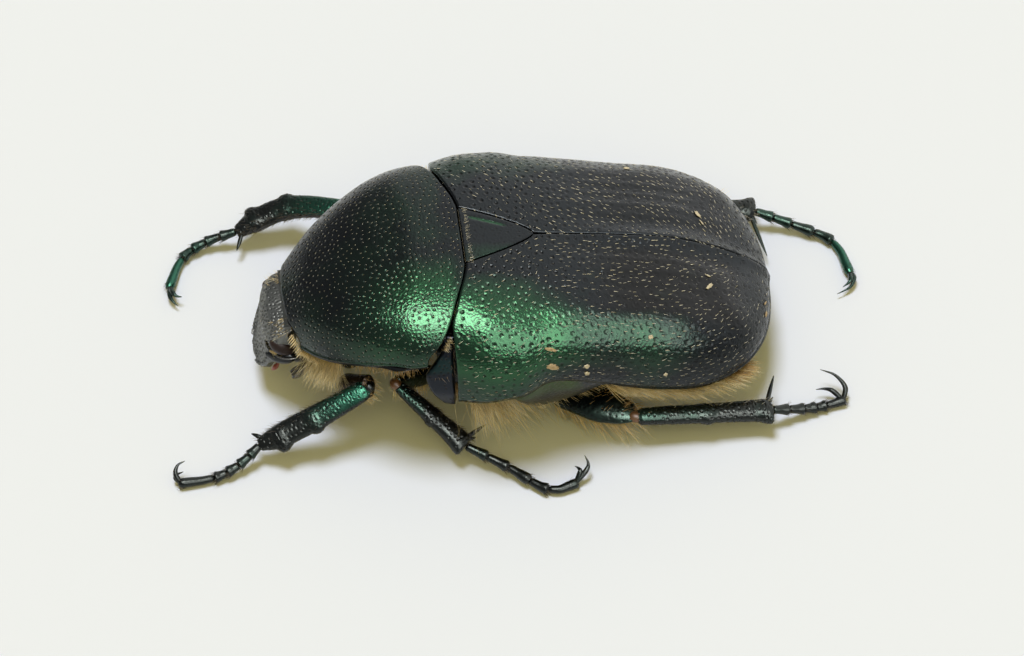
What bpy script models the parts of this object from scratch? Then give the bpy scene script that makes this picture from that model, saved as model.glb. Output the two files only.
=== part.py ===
"""A rose chafer at life size, standing on its six feet, as separate solid sub-parts.

Sizes are millimetres in the beetle's own frame: x runs from head to tail and is 0 at the hind edge of the
pronotum, y is 0 on the midline and negative on the left side, and z is 0 on the floor under the feet.
"""

import math
import random

import bmesh
import bpy
from mathutils import Vector

MM = 0.001
GAP = 0.3
HALF_GAP = GAP / 2
TINY = 1e-6

# Wing cases
CREST_Z = 8.0
CREST_SLOPE = 0.10
CREST_BEND = 0.010
CASE_THICK = 0.5
CASE_REAR_START = 8.0
CASE_END = 13.05
CASE_CORNER = 2.5
CASE_SIDE_ROUND = 2.8
CASE_REAR_ROUND = 2.0
CASE_HALF_WIDTH = [(-0.9, 5.6), (0.6, 5.95), (1.7, 5.95), (3.2, 5.52), (5.0, 5.45), (8.0, 5.42)]
CASE_MARGIN_Z = [(-0.9, 3.9), (1.5, 4.15), (3.2, 4.5), (5.0, 4.0), (7.5, 3.1), (10.0, 2.75), (13.1, 2.8)]
CASE_BASE_X = [(0.0, 0.2), (1.4, 0.2), (2.0, 0.08), (2.9, -0.17), (3.6, -0.48), (4.3, -0.82), (4.8, -0.88), (5.2, -0.9)]
CASE_INNER_END = 11.8
SHOULDER_BUMP = (0.7, 4.4, 0.9, 0.12)
TAIL_BUMP = (11.3, 3.3, 0.8, 0.20)

# Scutellum
SCUTELLUM_FRONT = 0.2
SCUTELLUM_END = 2.9
SCUTELLUM_HALF_WIDTH = 1.4
SCUTELLUM_TIP = 0.08
SCUTELLUM_GAP = 0.2

# Prothorax, along its side from the front corner, 0, to the hind corner, 1
PRONOTUM_HALF_WIDTH = [(0.0, 2.1), (0.09, 2.8), (0.2, 3.4), (0.38, 4.05), (0.6, 4.6), (0.88, 5.0), (1.0, 5.05)]
PRONOTUM_CREST_Z = [(0.0, 5.2), (0.15, 6.25), (0.35, 7.2), (0.55, 7.75), (0.75, 8.0), (1.0, 7.95)]
PRONOTUM_MARGIN_Z = [(0.0, 4.0), (0.2, 4.55), (0.38, 5.0), (0.6, 5.45), (1.0, 5.75)]
PROSTERNUM_Z = [(0.0, 3.4), (0.2, 2.7), (0.5, 2.3), (0.8, 2.4), (1.0, 2.9)]
PRONOTUM_FRONT_X = [(0.0, -7.70), (0.6, -7.58), (1.0, -7.12)]
PRONOTUM_REAR_X = [(0.0, -0.1), (1.4, -0.1), (3.0, -0.55), (4.3, -1.17), (4.7, -1.42), (5.05, -2.0)]
PRONOTUM_ROUND = 2.6
PROSTERNUM_ROUND = 1.1
PRONOTUM_EDGE = 0.35
PROSTERNUM_SET_BACK = (1.1, -1.1)
PROSTERNUM_WIDTH = 0.96

# Head, in its own frame: s runs down the face from the neck, 0, to the mouth shield's end, 1
NECK = Vector((-7.72, 0.0, 4.72))
FACE_END = Vector((-8.85, 0.0, 1.45))
HEAD_HALF_WIDTH = [(0.0, 1.25), (0.1, 1.5), (0.29, 1.75), (0.46, 1.7), (0.59, 1.45), (0.89, 1.3), (1.0, 1.0)]
HEAD_FACE = [(0.0, 0.05), (0.12, 0.33), (0.3, 0.47), (0.5, 0.36), (0.68, 0.17), (0.9, 0.06), (1.0, 0.18)]
HEAD_BACK = [(0.0, -0.05), (0.1, -0.42), (0.4, -1.1), (0.56, -0.65), (0.72, -0.45), (1.0, -0.45)]
HEAD_EDGE_FACE = [(0.0, 0.05), (0.2, -0.25), (1.0, -0.25)]
HEAD_EDGE_BACK = [(0.0, -0.05), (0.25, -0.45), (1.0, -0.45)]
HEAD_ROUND = 2.5
EYE_PLACE = (0.363, 1.64, -0.36)
EYE_RADIUS = 0.52

# Feelers, palps and mouthparts, on the right side
FEELER_ROOT = Vector((-7.18, 1.35, 2.68))
FEELER_ELBOW = Vector((-6.78, 2.00, 2.55))
CLUB_ROOT = Vector((-6.70, 2.05, 2.50))
CLUB_TIP = Vector((-7.34, 1.62, 1.25))
FEELER_RADIUS = 0.25
CLUB_RADIUS = 0.34
PALP_ROOT = Vector((-7.62, 1.22, 1.90))
PALP_TIP = Vector((-7.98, 1.12, 1.15))
PALP_RADIUS = 0.24
MOUTH_START = (0.68, -1.2)
MOUTH_END = (0.95, -0.98)
MOUTH_HALF_WIDTH = 0.75

# Belly
BELLY_Z = [(-0.9, 3.0), (0.0, 2.5), (0.5, 1.25), (1.3, 1.05), (2.2, 1.15), (2.7, 2.9), (5.3, 2.9)]
ABDOMEN_Z = [(5.8, 1.15), (7.5, 1.1), (9.5, 1.3), (11.4, 1.75)]
THORAX_HALF_WIDTH = [(0.0, 4.2), (0.18, 4.5), (0.3, 4.0), (1.0, 4.0)]
THORAX_REAR = 5.35
THORAX_FRONT_LEAN = -0.7
THORAX_EDGE_DROP = 0.35
ABDOMEN_FRONT = 5.85
ABDOMEN_REAR = 11.0
ABDOMEN_CORNER = 2.6
TRUNK_INSET = CASE_THICK + GAP + 0.15

# Golden hair of the underside, as locks. Each row has its first and last place along the node, how far out its
# roots stand, the number of locks on each side, their lie and their length.
PROTHORAX_LOCKS = [(0.07, 0.15, 0.80, 3, (-0.1, 0.15, -0.95), 1.2), (0.09, 0.15, 0.55, 2, (-0.1, 0.1, -0.95), 0.9)]
THORAX_LOCKS = [(0.06, 0.36, 0.95, 6, (0.45, 0.75, -0.5), 1.7), (0.10, 0.40, 0.82, 5, (0.5, 0.6, -0.4), 1.3)]
ABDOMEN_LOCKS = [(0.2, 0.78, 0.93, 7, (0.88, 0.42, -0.08), 1.25), (0.88, 0.96, 0.90, 2, (0.9, 0.3, -0.1), 1.1)]
LOCK_STATIONS = [(0.0, 0.3, 0.3), (0.4, 0.42, 0.42), (0.75, 0.36, 0.36), (1.0, 0.1, 0.1)]
LOCK_FLAT = 0.62
LOCK_SINK = 0.4
LOCK_DROOP = 0.2
LOCK_TURN = 0.15
LOCK_SHORTEST = 0.85

# Side plate between the pronotum and the shoulder, from its lower corner, 0, to its upper corner, 1
SIDE_PLATE_Z = (3.3, 6.0)
SIDE_PLATE_FRONT_X = [(0.0, -1.4), (0.3, -1.85), (0.62, -2.1), (0.83, -1.7), (1.0, -1.38)]
SIDE_PLATE_REAR_X = -1.18
SIDE_PLATE_Y = [(0.0, 5.3), (0.3, 5.4), (0.62, 5.2), (0.83, 4.95), (1.0, 4.7)]
SIDE_PLATE_TURN = 0.15
SIDE_PLATE_THICK = 0.5

# Hind coxa: a bar across the belly with a leaf-shaped outer plate under the notch of the wing case
COXA_BAR = (Vector((4.15, 0.4, 2.05)), Vector((4.05, 4.5, 2.45)))
COXA_BAR_HALF_WIDTH = 1.1
COXA_LEAF_X = (1.35, 5.55)
COXA_LEAF_LOW_Z = [(0.0, 3.75), (0.2, 2.6), (0.38, 2.1), (0.65, 2.35), (1.0, 3.3)]
COXA_LEAF_INNER_Y = 4.4
COXA_LEAF_SET_IN = 0.22

# Tail plate, from its upper edge down
TAIL_PLATE_X = (12.35, 12.15)
TAIL_PLATE_Z = (2.35, 1.6)
TAIL_PLATE_HALF_WIDTH = (2.7, 1.2)
TAIL_PLATE_BOW = 0.35

# Legs. Each has its hip, knee and ankle, the way its outer edge faces, the route of its foot, the tip of
# its spur and the tips of its two claws.
LEGS = {
    "fore_left": {
        "hip": (-5.05, -2.35, 1.6), "knee": (-4.1, -3.85, 3.3), "shin": (-6.8, -4.4, 2.02),
        "ankle": (-9.15, -4.75, 0.95), "outer": (0.1, -0.93, 0.3),
        "foot": [(-10.1, -5.35, 0.55), (-11.2, -5.7, 0.27), (-12.7, -5.8, 0.27)],
        "spur": (-9.32, -4.08, 0.75), "claws": [(-12.35, -5.1, 0.85), (-12.45, -5.3, 0.35)],
    },
    "fore_right": {
        "hip": (-5.05, 2.35, 1.6), "knee": (-4.2, 5.8, 2.75), "shin": (-6.8, 6.95, 1.75),
        "ankle": (-9.05, 6.6, 0.92),
        "outer": (0.0, 1.0, 0.1), "foot": [(-10.4, 6.5, 0.5), (-11.5, 5.9, 0.27), (-12.2, 4.4, 0.27)],
        "spur": (-9.13, 5.73, 0.7), "claws": [(-11.9, 3.4, 0.3), (-11.7, 3.7, 0.5)],
    },
    "mid_left": {
        "hip": (-1.5, -2.05, 1.15), "knee": (-3.25, -3.35, 2.5), "ankle": (-0.55, -5.8, 0.9),
        "outer": (-0.66, -0.75, 0.0), "foot": [(1.1, -6.8, 0.5), (2.7, -8.0, 0.27), (3.95, -7.8, 0.27)],
        "spur": (0.42, -4.81, 0.9), "claws": [(4.35, -6.9, 0.9), (3.9, -7.25, 0.7)],
    },
    "mid_right": {
        "hip": (-1.5, 2.05, 1.15), "knee": (-2.9, 4.3, 2.7), "ankle": (0.1, 6.5, 0.9),
        "outer": (-0.66, 0.75, 0.0), "foot": [(1.7, 7.3, 0.5), (3.2, 8.0, 0.27), (4.5, 7.8, 0.27)],
        "spur": (1.0, 5.6, 0.9), "claws": [(4.9, 6.9, 0.9), (4.5, 7.25, 0.7)],
    },
    "hind_left": {
        "hip": (3.1, -2.7, 0.85), "knee": (6.67, -5.6, 1.5), "ankle": (12.5, -5.6, 1.0),
        "outer": (0.0, -1.0, 0.0), "foot": [(13.9, -5.35, 0.5), (14.9, -5.15, 0.27), (15.75, -4.95, 0.27)],
        "spur": (12.78, -4.07, 1.3), "claws": [(14.85, -3.7, 0.9), (14.55, -4.45, 0.5)],
    },
    "hind_right": {
        "hip": (3.6, 2.8, 0.85), "knee": (7.6, 5.4, 1.6), "ankle": (13.3, 4.9, 1.0),
        "outer": (0.0, 1.0, 0.0), "foot": [(14.8, 4.4, 0.5), (16.5, 3.4, 0.27), (17.0, 1.6, 0.27)],
        "spur": (13.53, 2.73, 0.6), "claws": [(16.25, 0.57, 0.3), (16.55, 0.8, 0.45)],
    },
}
HIP_COXA = {
    "fore": ((-4.75, 1.5, 2.1), (-4.75, 0.9, 1.3)),
    "mid": ((-0.9, 1.9, 2.0), (-0.6, 1.05, 1.2)),
}
COXA_RADII = (0.5, 0.42)
FEMUR_WIDTHS = {"fore": (0.45, 0.55), "mid": (0.45, 0.55), "hind": (0.95, 0.40)}
TIBIA_WIDTHS = {
    "fore": [(0.0, 0.2, 0.2), (0.06, 0.33, 0.32), (0.25, 0.42, 0.42), (0.44, 0.48, 0.46), (0.52, 0.64, 0.46),
             (0.58, 0.50, 0.46), (0.74, 0.52, 0.46), (0.83, 0.74, 0.44), (0.88, 0.52, 0.42), (1.0, 0.34, 0.30)],
    "mid": [(0.0, 0.22, 0.22), (0.05, 0.31, 0.31), (0.45, 0.38, 0.38), (0.55, 0.5, 0.4), (0.62, 0.42, 0.4),
            (0.9, 0.48, 0.46), (1.0, 0.6, 0.46)],
    "hind": [(0.0, 0.22, 0.22), (0.04, 0.33, 0.33), (0.4, 0.4, 0.4), (0.52, 0.52, 0.42), (0.58, 0.44, 0.42),
             (0.9, 0.5, 0.48), (1.0, 0.62, 0.5)],
}
TIBIA_FLAT = {"fore": 0.62, "mid": 0.75, "hind": 0.75}
KNEE_ROOM = 0.62
ANKLE_ROOM = 0.32
FOOT_JOINTS = (0.0, 0.18, 0.36, 0.52, 0.68, 1.0)
FOOT_RADII = (0.25, 0.31)
SPUR_RADIUS = 0.25
CLAW_RADIUS = 0.24
CLAW_BOW = 0.34


def through(stations, x):
    """The value at x on a smooth curve through (x, value) stations, level where the stations turn."""
    if x <= stations[0][0]:
        return stations[0][1]
    if x >= stations[-1][0]:
        return stations[-1][1]
    last = len(stations) - 1
    slopes = [(stations[i + 1][1] - stations[i][1]) / (stations[i + 1][0] - stations[i][0]) for i in range(last)]
    i = max(k for k in range(last) if stations[k][0] <= x)

    def tangent(k):
        if k in (0, last):
            return slopes[min(k, last - 1)]
        before, after = slopes[k - 1], slopes[k]
        return 0.0 if before * after <= 0 else 2 * before * after / (before + after)

    x0, v0 = stations[i]
    x1, v1 = stations[i + 1]
    step = x1 - x0
    f = (x - x0) / step
    return (v0 * (1 + 2 * f) * (1 - f) ** 2 + tangent(i) * step * f * (1 - f) ** 2
            + v1 * f * f * (3 - 2 * f) + tangent(i + 1) * step * f * f * (f - 1))


def mix(a, b, f):
    return a + (b - a) * f


def dome(rho, power):
    """Height of a rounded section, 1 in the middle and 0 at the edge, rho from 0 to 1."""
    return (1 - min(abs(rho), 1.0) ** power) ** (1 / power)


def bump(x, y, spot):
    cx, cy, radius, height = spot
    return height * math.exp(-((x - cx) ** 2 + (abs(y) - cy) ** 2) / radius ** 2)


def case_reach(back, side):
    """How far out a point lies between the middle, 0, and the margin, 1, of the rounded rear."""
    rho = 1.0
    for _ in range(8):
        power = mix(2.0, CASE_CORNER, min(rho, 1.0))
        rho = (back ** power + side ** power) ** (1 / power)
    return rho


def crest_z(x):
    return CREST_Z - CREST_SLOPE * x - CREST_BEND * x * x


def case_z(x, y, inset=0.0):
    """Height of the closed wing cases over a point, or of a like surface set in by inset."""
    half = through(CASE_HALF_WIDTH, min(x, CASE_REAR_START)) - inset
    back = max(x - CASE_REAR_START, 0.0) / (CASE_END - CASE_REAR_START - inset)
    side = abs(y) / half
    rho = case_reach(back, side)
    turn = back * back / (back * back + side * side + TINY)
    power = mix(CASE_SIDE_ROUND, CASE_REAR_ROUND, turn)
    margin = through(CASE_MARGIN_Z, x)
    rise = dome(rho, power)
    z = margin + (crest_z(x) - inset - margin) * rise
    return z + (bump(x, y, SHOULDER_BUMP) + bump(x, y, TAIL_BUMP)) * min(1.0, 3 * rise)


def clean_scene():
    for item in list(bpy.data.objects):
        bpy.data.objects.remove(item)


def material(name, colour, roughness, metallic):
    made = bpy.data.materials.new(name)
    made.use_nodes = True
    shader = made.node_tree.nodes["Principled BSDF"]
    shader.inputs["Base Color"].default_value = (*colour, 1.0)
    shader.inputs["Roughness"].default_value = roughness
    shader.inputs["Metallic"].default_value = metallic
    return made


def mesh_object(name, points, faces, finish, parent):
    """One object from points in millimetres, with its faces turned outwards."""
    shell = bmesh.new()
    corners = [shell.verts.new(Vector(p) * MM) for p in points]
    for face in faces:
        shell.faces.new([corners[k] for k in face])
    bmesh.ops.recalc_face_normals(shell, faces=shell.faces)
    mesh = bpy.data.meshes.new(name)
    shell.to_mesh(mesh)
    shell.free()
    return place_mesh(name, mesh, finish, parent)


def place_mesh(name, mesh, finish, parent):
    mesh.materials.clear()
    mesh.materials.append(finish)
    mesh.shade_smooth()
    made = bpy.data.objects.new(name, mesh)
    made.parent = parent
    bpy.data.collections["rose_chafer"].objects.link(made)
    return made


def slab(rows, columns, plan, top, bottom):
    """Points and faces of a closed body over a plan: u and v from 0 to 1 give its top and bottom surfaces."""
    points = []
    for side in (top, bottom):
        for i in range(rows + 1):
            for j in range(columns + 1):
                u, v = plan(i / rows, j / columns)
                points.append(side(u, v))
    width = columns + 1
    under = (rows + 1) * width
    faces = []
    for i in range(rows):
        for j in range(columns):
            a = i * width + j
            faces.append((a, a + 1, a + width + 1, a + width))
            faces.append((under + a, under + a + width, under + a + width + 1, under + a + 1))
    rim = [j for j in range(width)]
    rim += [i * width + columns for i in range(1, rows + 1)]
    rim += [rows * width + j for j in range(columns - 1, -1, -1)]
    rim += [i * width for i in range(rows - 1, 0, -1)]
    for k, a in enumerate(rim):
        b = rim[(k + 1) % len(rim)]
        faces.append((a, b, under + b, under + a))
    return points, faces


def eased(f):
    """Steps over a half section, closer where it falls away at the edge."""
    return math.sin(0.5 * math.pi * f)


def eased_across(f):
    return math.copysign(eased(abs(2 * f - 1)), 2 * f - 1)


def loft(rings):
    """Points and faces of a closed body through rings of the same count."""
    count = len(rings[0])
    points = [p for ring in rings for p in ring]
    faces = [tuple(range(count)), tuple(range(len(points) - count, len(points)))]
    for i in range(len(rings) - 1):
        for k in range(count):
            a = i * count + k
            b = i * count + (k + 1) % count
            faces.append((a, b, b + count, a + count))
    return points, faces


def ring(centre, across, up, outer, inner, thick, count, start=0.0):
    """Points round one section: outer and inner reach along across, thick above and below."""
    points = []
    for k in range(count):
        turn = 2 * math.pi * (k + start) / count
        reach = outer if math.cos(turn) > 0 else inner
        points.append(centre + across * (math.cos(turn) * reach) + up * (math.sin(turn) * thick))
    return points


def curve_point(points, f):
    """A point at f, from 0 to 1, on a smooth curve through points."""
    last = len(points) - 1
    i = min(int(f * last), last - 1)
    g = f * last - i
    here, there = points[i], points[i + 1]
    before = points[i - 1] if i > 0 else here * 2 - there
    after = points[i + 2] if i + 2 <= last else there * 2 - here
    m0 = (there - before) / 2
    m1 = (after - here) / 2
    return (here * ((1 + 2 * g) * (1 - g) ** 2) + m0 * (g * (1 - g) ** 2)
            + there * (g * g * (3 - 2 * g)) + m1 * (g * g * (g - 1)))


def limb(route, widths, flat, across, count=10, start=0.0):
    """A body along a route: widths lists (f, outer, inner) and flat is thickness over the mean width."""
    rings = []
    for f, outer, inner in widths:
        centre = curve_point(route, f)
        ahead = (curve_point(route, min(f + 0.02, 1.0)) - curve_point(route, max(f - 0.02, 0.0))).normalized()
        side = (across - ahead * across.dot(ahead)).normalized()
        up = ahead.cross(side)
        thick = flat * (outer + inner) / 2
        rings.append(ring(centre, side, up, outer, inner, thick, count, start))
    return loft(rings)


def spike(root, tip, radius, bow=None, count=6, steps=3, tip_radius=0.09):
    """A tapered spine or claw from root to tip, bowed through a middle point."""
    route = [root, bow if bow else (root + tip) / 2, tip]
    widths = []
    for i in range(steps + 1):
        f = i / steps
        r = mix(radius, tip_radius, f ** 1.2)
        widths.append((f, r, r))
    ahead = tip - root
    across = ahead.orthogonal() if bow is None else (bow - root).cross(tip - root)
    return limb(route, widths, 1.0, across.normalized(), count)


def largest_shell(mesh):
    """Keeps only the largest closed surface of a mesh."""
    shell = bmesh.new()
    shell.from_mesh(mesh)
    bmesh.ops.remove_doubles(shell, verts=shell.verts, dist=TINY)
    shell.verts.ensure_lookup_table()
    left = set(shell.verts)
    groups = []
    while left:
        stack = [left.pop()]
        group = set(stack)
        while stack:
            for edge in stack.pop().link_edges:
                for vert in edge.verts:
                    if vert in left:
                        left.remove(vert)
                        group.add(vert)
                        stack.append(vert)
        groups.append(group)
    keep = max(groups, key=len)
    bmesh.ops.delete(shell, geom=[v for v in shell.verts if v not in keep], context="VERTS")
    bmesh.ops.triangulate(shell, faces=shell.faces)
    shell.to_mesh(mesh)
    shell.free()


def cut_or_join(name, main, others, finish, parent, operation="UNION"):
    """One object from a main piece and other pieces, each given as points and faces, joined or cut in one go."""
    base = mesh_object(name + "_base", *main, finish, parent)
    tools = bpy.data.collections.new(name + "_tools")
    bpy.context.scene.collection.children.link(tools)
    for k, piece in enumerate(others):
        other = mesh_object(name + "_tool_" + str(k), *piece, finish, parent)
        bpy.data.collections["rose_chafer"].objects.unlink(other)
        tools.objects.link(other)
    change = base.modifiers.new("change", "BOOLEAN")
    change.operation = operation
    change.operand_type = "COLLECTION"
    change.collection = tools
    change.solver = "EXACT"
    seen = base.evaluated_get(bpy.context.evaluated_depsgraph_get())
    mesh = bpy.data.meshes.new_from_object(seen)
    for other in list(tools.objects):
        bpy.data.objects.remove(other)
    bpy.data.collections.remove(tools)
    bpy.data.objects.remove(base)
    largest_shell(mesh)
    return place_mesh(name, mesh, finish, parent)


def locks(rows, surface, seed):
    """Flat, tapered locks of hair on both sides of a node, bent along their lie, with their roots sunk in."""
    draw = random.Random(seed)
    made = []
    for side in (-1, 1):
        for first, last, out, count, lie, length in rows:
            for k in range(count):
                root = Vector(surface(mix(first, last, k / (count - 1)), side * out))
                ahead = Vector((lie[0] + draw.uniform(-LOCK_TURN, LOCK_TURN), side * lie[1], lie[2])).normalized()
                reach = ahead * (length * draw.uniform(LOCK_SHORTEST, 1.0))
                tip = root + reach - Vector((0.0, 0.0, LOCK_DROOP))
                across = Vector((0.0, 0.0, 1.0)).cross(ahead).normalized()
                route = [root - ahead * LOCK_SINK, root + reach * 0.5, tip]
                made.append(limb(route, LOCK_STATIONS, LOCK_FLAT, across, 6))
    return made


def wing_case(name, side, finish, parent):
    """One wing case: an open sheet from the suture out to the margin, thickened inwards."""
    rows, columns, rear_from = 26, 12, 0.62

    def inner_point(f):
        x = mix(SCUTELLUM_FRONT, CASE_INNER_END, f)
        taper = 1 - (x - SCUTELLUM_FRONT) / (SCUTELLUM_END - SCUTELLUM_FRONT)
        return x, HALF_GAP + max(0.0, SCUTELLUM_HALF_WIDTH * taper + SCUTELLUM_GAP)

    def margin_point(f):
        if f < rear_from:
            x = mix(CASE_BASE_X[-1][1], CASE_REAR_START, f / rear_from)
            return x, through(CASE_HALF_WIDTH, x)
        turn = 0.5 * math.pi * (f - rear_from) / (1 - rear_from)
        half = CASE_HALF_WIDTH[-1][1]
        x = CASE_REAR_START + (CASE_END - CASE_REAR_START) * math.sin(turn) ** (2 / CASE_CORNER)
        return x, max(HALF_GAP, half * max(math.cos(turn), 0.0) ** (2 / CASE_CORNER))

    points = []
    for i in range(rows + 1):
        (xa, ya), (xb, yb) = inner_point(i / rows), margin_point(i / rows)
        hold = max(0.0, 1 - 3 * i / (rows * rear_from))
        for j in range(columns + 1):
            f = eased(j / columns)
            y = mix(ya, yb, f)
            straight = mix(CASE_BASE_X[0][1], CASE_BASE_X[-1][1], f)
            x = mix(xa, xb, f) + hold * (through(CASE_BASE_X, y) - straight)
            points.append((x, side * y, case_z(x, y)))
    width = columns + 1
    faces = []
    for i in range(rows):
        for j in range(columns):
            a = i * width + j
            quad = (a, a + width, a + width + 1, a + 1)
            faces.append(quad if side > 0 else quad[::-1])
    made = mesh_object(name, points, faces, finish, parent)
    if made.data.polygons[rows * columns // 2].normal.z < 0:
        made.data.flip_normals()
    thick = made.modifiers.new("thickness", "SOLIDIFY")
    thick.thickness = CASE_THICK * MM
    thick.offset = -1.0
    return made


def scutellum(finish, parent):
    """The triangular plate between the bases of the wing cases."""

    def plan(f, g):
        x = mix(SCUTELLUM_FRONT, SCUTELLUM_END, f)
        half = mix(SCUTELLUM_HALF_WIDTH, SCUTELLUM_TIP, f)
        return x, mix(-half, half, g)

    def top(x, y):
        return x, y, case_z(x, y)

    def bottom(x, y):
        return x, y, case_z(x, y) - CASE_THICK

    mesh_object("scutellum", *slab(6, 6, plan, top, bottom), finish, parent)


def prothorax(finish, parent):
    """The domed pronotum with the underside of the first thorax ring."""

    def plan(f, g):
        return f, eased_across(g)

    def place(u, v):
        y = v * through(PRONOTUM_HALF_WIDTH, u)
        front = through(PRONOTUM_FRONT_X, abs(v))
        rear = through(PRONOTUM_REAR_X, abs(y))
        return mix(front, rear, u), y

    def top(u, v):
        x, y = place(u, v)
        margin = through(PRONOTUM_MARGIN_Z, u)
        return x, y, margin + (through(PRONOTUM_CREST_Z, u) - margin) * dome(v, PRONOTUM_ROUND)

    def bottom(u, v):
        x, y = place(u, v)
        margin = through(PRONOTUM_MARGIN_Z, u) - PRONOTUM_EDGE
        x += mix(*PROSTERNUM_SET_BACK, u)
        z = margin - (margin - through(PROSTERNUM_Z, u)) * dome(v, PROSTERNUM_ROUND)
        return x, y * PROSTERNUM_WIDTH, z

    hair = locks(PROTHORAX_LOCKS, bottom, 11)
    cut_or_join("prothorax", slab(14, 20, plan, top, bottom), hair, finish, parent)


def head_point(s, y, t):
    """A point from how far down the face, how far out and how far above the line of the face it is."""
    down = (FACE_END - NECK).normalized()
    out = Vector((down.z, 0.0, -down.x))
    return NECK + (FACE_END - NECK) * s + out * t + Vector((0.0, y, 0.0))


def head(finish, parent):
    """The head with its shield over the mouth, and a socket for each eye."""

    def plan(f, g):
        return f, eased_across(g)

    def top(s, v):
        t = mix(through(HEAD_EDGE_FACE, s), through(HEAD_FACE, s), dome(v, HEAD_ROUND))
        return head_point(s, v * through(HEAD_HALF_WIDTH, s), t)

    def bottom(s, v):
        t = mix(through(HEAD_EDGE_BACK, s), through(HEAD_BACK, s), dome(v, HEAD_ROUND))
        return head_point(s, v * through(HEAD_HALF_WIDTH, s), t)

    sockets = []
    for side in (-1, 1):
        s, y, t = EYE_PLACE
        sockets.append(ball(head_point(s, side * y, t), EYE_RADIUS + GAP, 12, 8))
    cut_or_join("head", slab(16, 14, plan, top, bottom), sockets, finish, parent, "DIFFERENCE")


def ball(centre, radius, around, rings):
    """Points and faces of a sphere."""
    shape = bmesh.new()
    bmesh.ops.create_uvsphere(shape, u_segments=around, v_segments=rings, radius=radius)
    points = [v.co + centre for v in shape.verts]
    faces = [tuple(v.index for v in f.verts) for f in shape.faces]
    shape.free()
    return points, faces


def flip(point, side):
    """A point of the right side, or its like on the left."""
    return Vector((point[0], side * point[1], point[2]))


def rounded(radius, middle, steps=5):
    """Stations of a body with rounded ends, middle as wide as it gets."""
    stations = []
    for i in range(steps + 1):
        f = i / steps
        r = mix(radius, middle, math.sin(math.pi * f))
        ends = 1.0 if 0 < i < steps else 0.75
        stations.append((f, r * ends, r * ends))
    return stations


def face_parts(side, name, eye, dark, red, parent):
    """An eye, a feeler with its club and a palp."""
    s, y, t = EYE_PLACE
    mesh_object("eye_" + name, *ball(head_point(s, side * y, t), EYE_RADIUS, 14, 8), eye, parent)
    across = Vector((0.0, 1.0, 0.0))
    scape_route = [flip(FEELER_ROOT, side), flip(FEELER_ELBOW, side)]
    scape = limb(scape_route, rounded(FEELER_RADIUS, FEELER_RADIUS, 3), 1.0, across, 8)
    club_route = [flip(CLUB_ROOT, side), flip(CLUB_TIP, side)]
    club = limb(club_route, rounded(FEELER_RADIUS, CLUB_RADIUS, 5), 0.8, across, 10)
    cut_or_join("antenna_" + name, scape, [club], dark, parent)
    palp = limb([flip(PALP_ROOT, side), flip(PALP_TIP, side)], rounded(PALP_RADIUS, PALP_RADIUS, 4), 1.0, across, 8)
    mesh_object("palp_" + name, *palp, red, parent)


def mouthparts(finish, parent):
    """The lip and jaws, packed together behind the shield."""
    ends = [head_point(s, 0.0, t) for s, t in (MOUTH_START, MOUTH_END)]
    body = limb(ends, rounded(MOUTH_HALF_WIDTH * 0.8, MOUTH_HALF_WIDTH, 5), 0.4, Vector((0.0, 1.0, 0.0)), 12)
    mesh_object("mouthparts", *body, finish, parent)


def thorax(finish, parent):
    """The second and third thorax rings, hidden above by the wing cases."""

    def plan(f, g):
        return f, eased_across(g)

    def place(u, v):
        y = v * through(THORAX_HALF_WIDTH, u)
        front = through(PRONOTUM_REAR_X, abs(y)) + GAP
        return mix(front, THORAX_REAR, u), y

    def top(u, v):
        x, y = place(u, v)
        return x, y, case_z(x, y, TRUNK_INSET)

    def bottom(u, v):
        x, y = place(u, v)
        edge = through(CASE_MARGIN_Z, x) - THORAX_EDGE_DROP
        z = mix(edge, through(BELLY_Z, x), dome(v, 2.4))
        return x + THORAX_FRONT_LEAN * v * v * (1 - u) ** 10, y, z

    cut_or_join("thorax", slab(14, 16, plan, top, bottom), locks(THORAX_LOCKS, bottom, 12), finish, parent)


def abdomen(finish, parent):
    """The belly rings behind the hind legs, with the sides under the wing cases."""

    def plan(f, g):
        return f, eased_across(g)

    def place(u, v):
        x = mix(ABDOMEN_FRONT, ABDOMEN_REAR, u)
        back = max(x - CASE_REAR_START, 0.0) / (CASE_END - CASE_REAR_START - TRUNK_INSET)
        half = through(CASE_HALF_WIDTH, min(x, CASE_REAR_START)) - TRUNK_INSET
        return x, v * half * dome(back, ABDOMEN_CORNER)

    def top(u, v):
        x, y = place(u, v)
        return x, y, mix(through(CASE_MARGIN_Z, x), case_z(x, 0.0, TRUNK_INSET), dome(v, 2.2))

    def bottom(u, v):
        x, y = place(u, v)
        edge = through(CASE_MARGIN_Z, x) - THORAX_EDGE_DROP
        return x, y, mix(edge, through(ABDOMEN_Z, x), dome(v, 2.0))

    cut_or_join("abdomen", slab(12, 16, plan, top, bottom), locks(ABDOMEN_LOCKS, bottom, 13), finish, parent)


def side_plate(side, name, finish, parent):
    """The plate that shows between the pronotum's hind corner and the shoulder of the wing case."""

    def plan(f, g):
        return f, g

    def outer(u, v):
        x = mix(through(SIDE_PLATE_FRONT_X, v), SIDE_PLATE_REAR_X, u)
        return x, side * (through(SIDE_PLATE_Y, v) - SIDE_PLATE_TURN * (1 - u)), mix(*SIDE_PLATE_Z, v)

    def inner(u, v):
        x, y, z = outer(u, v)
        return x, y - side * SIDE_PLATE_THICK, z

    mesh_object("side_plate_" + name, *slab(3, 8, plan, outer, inner), finish, parent)


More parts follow.
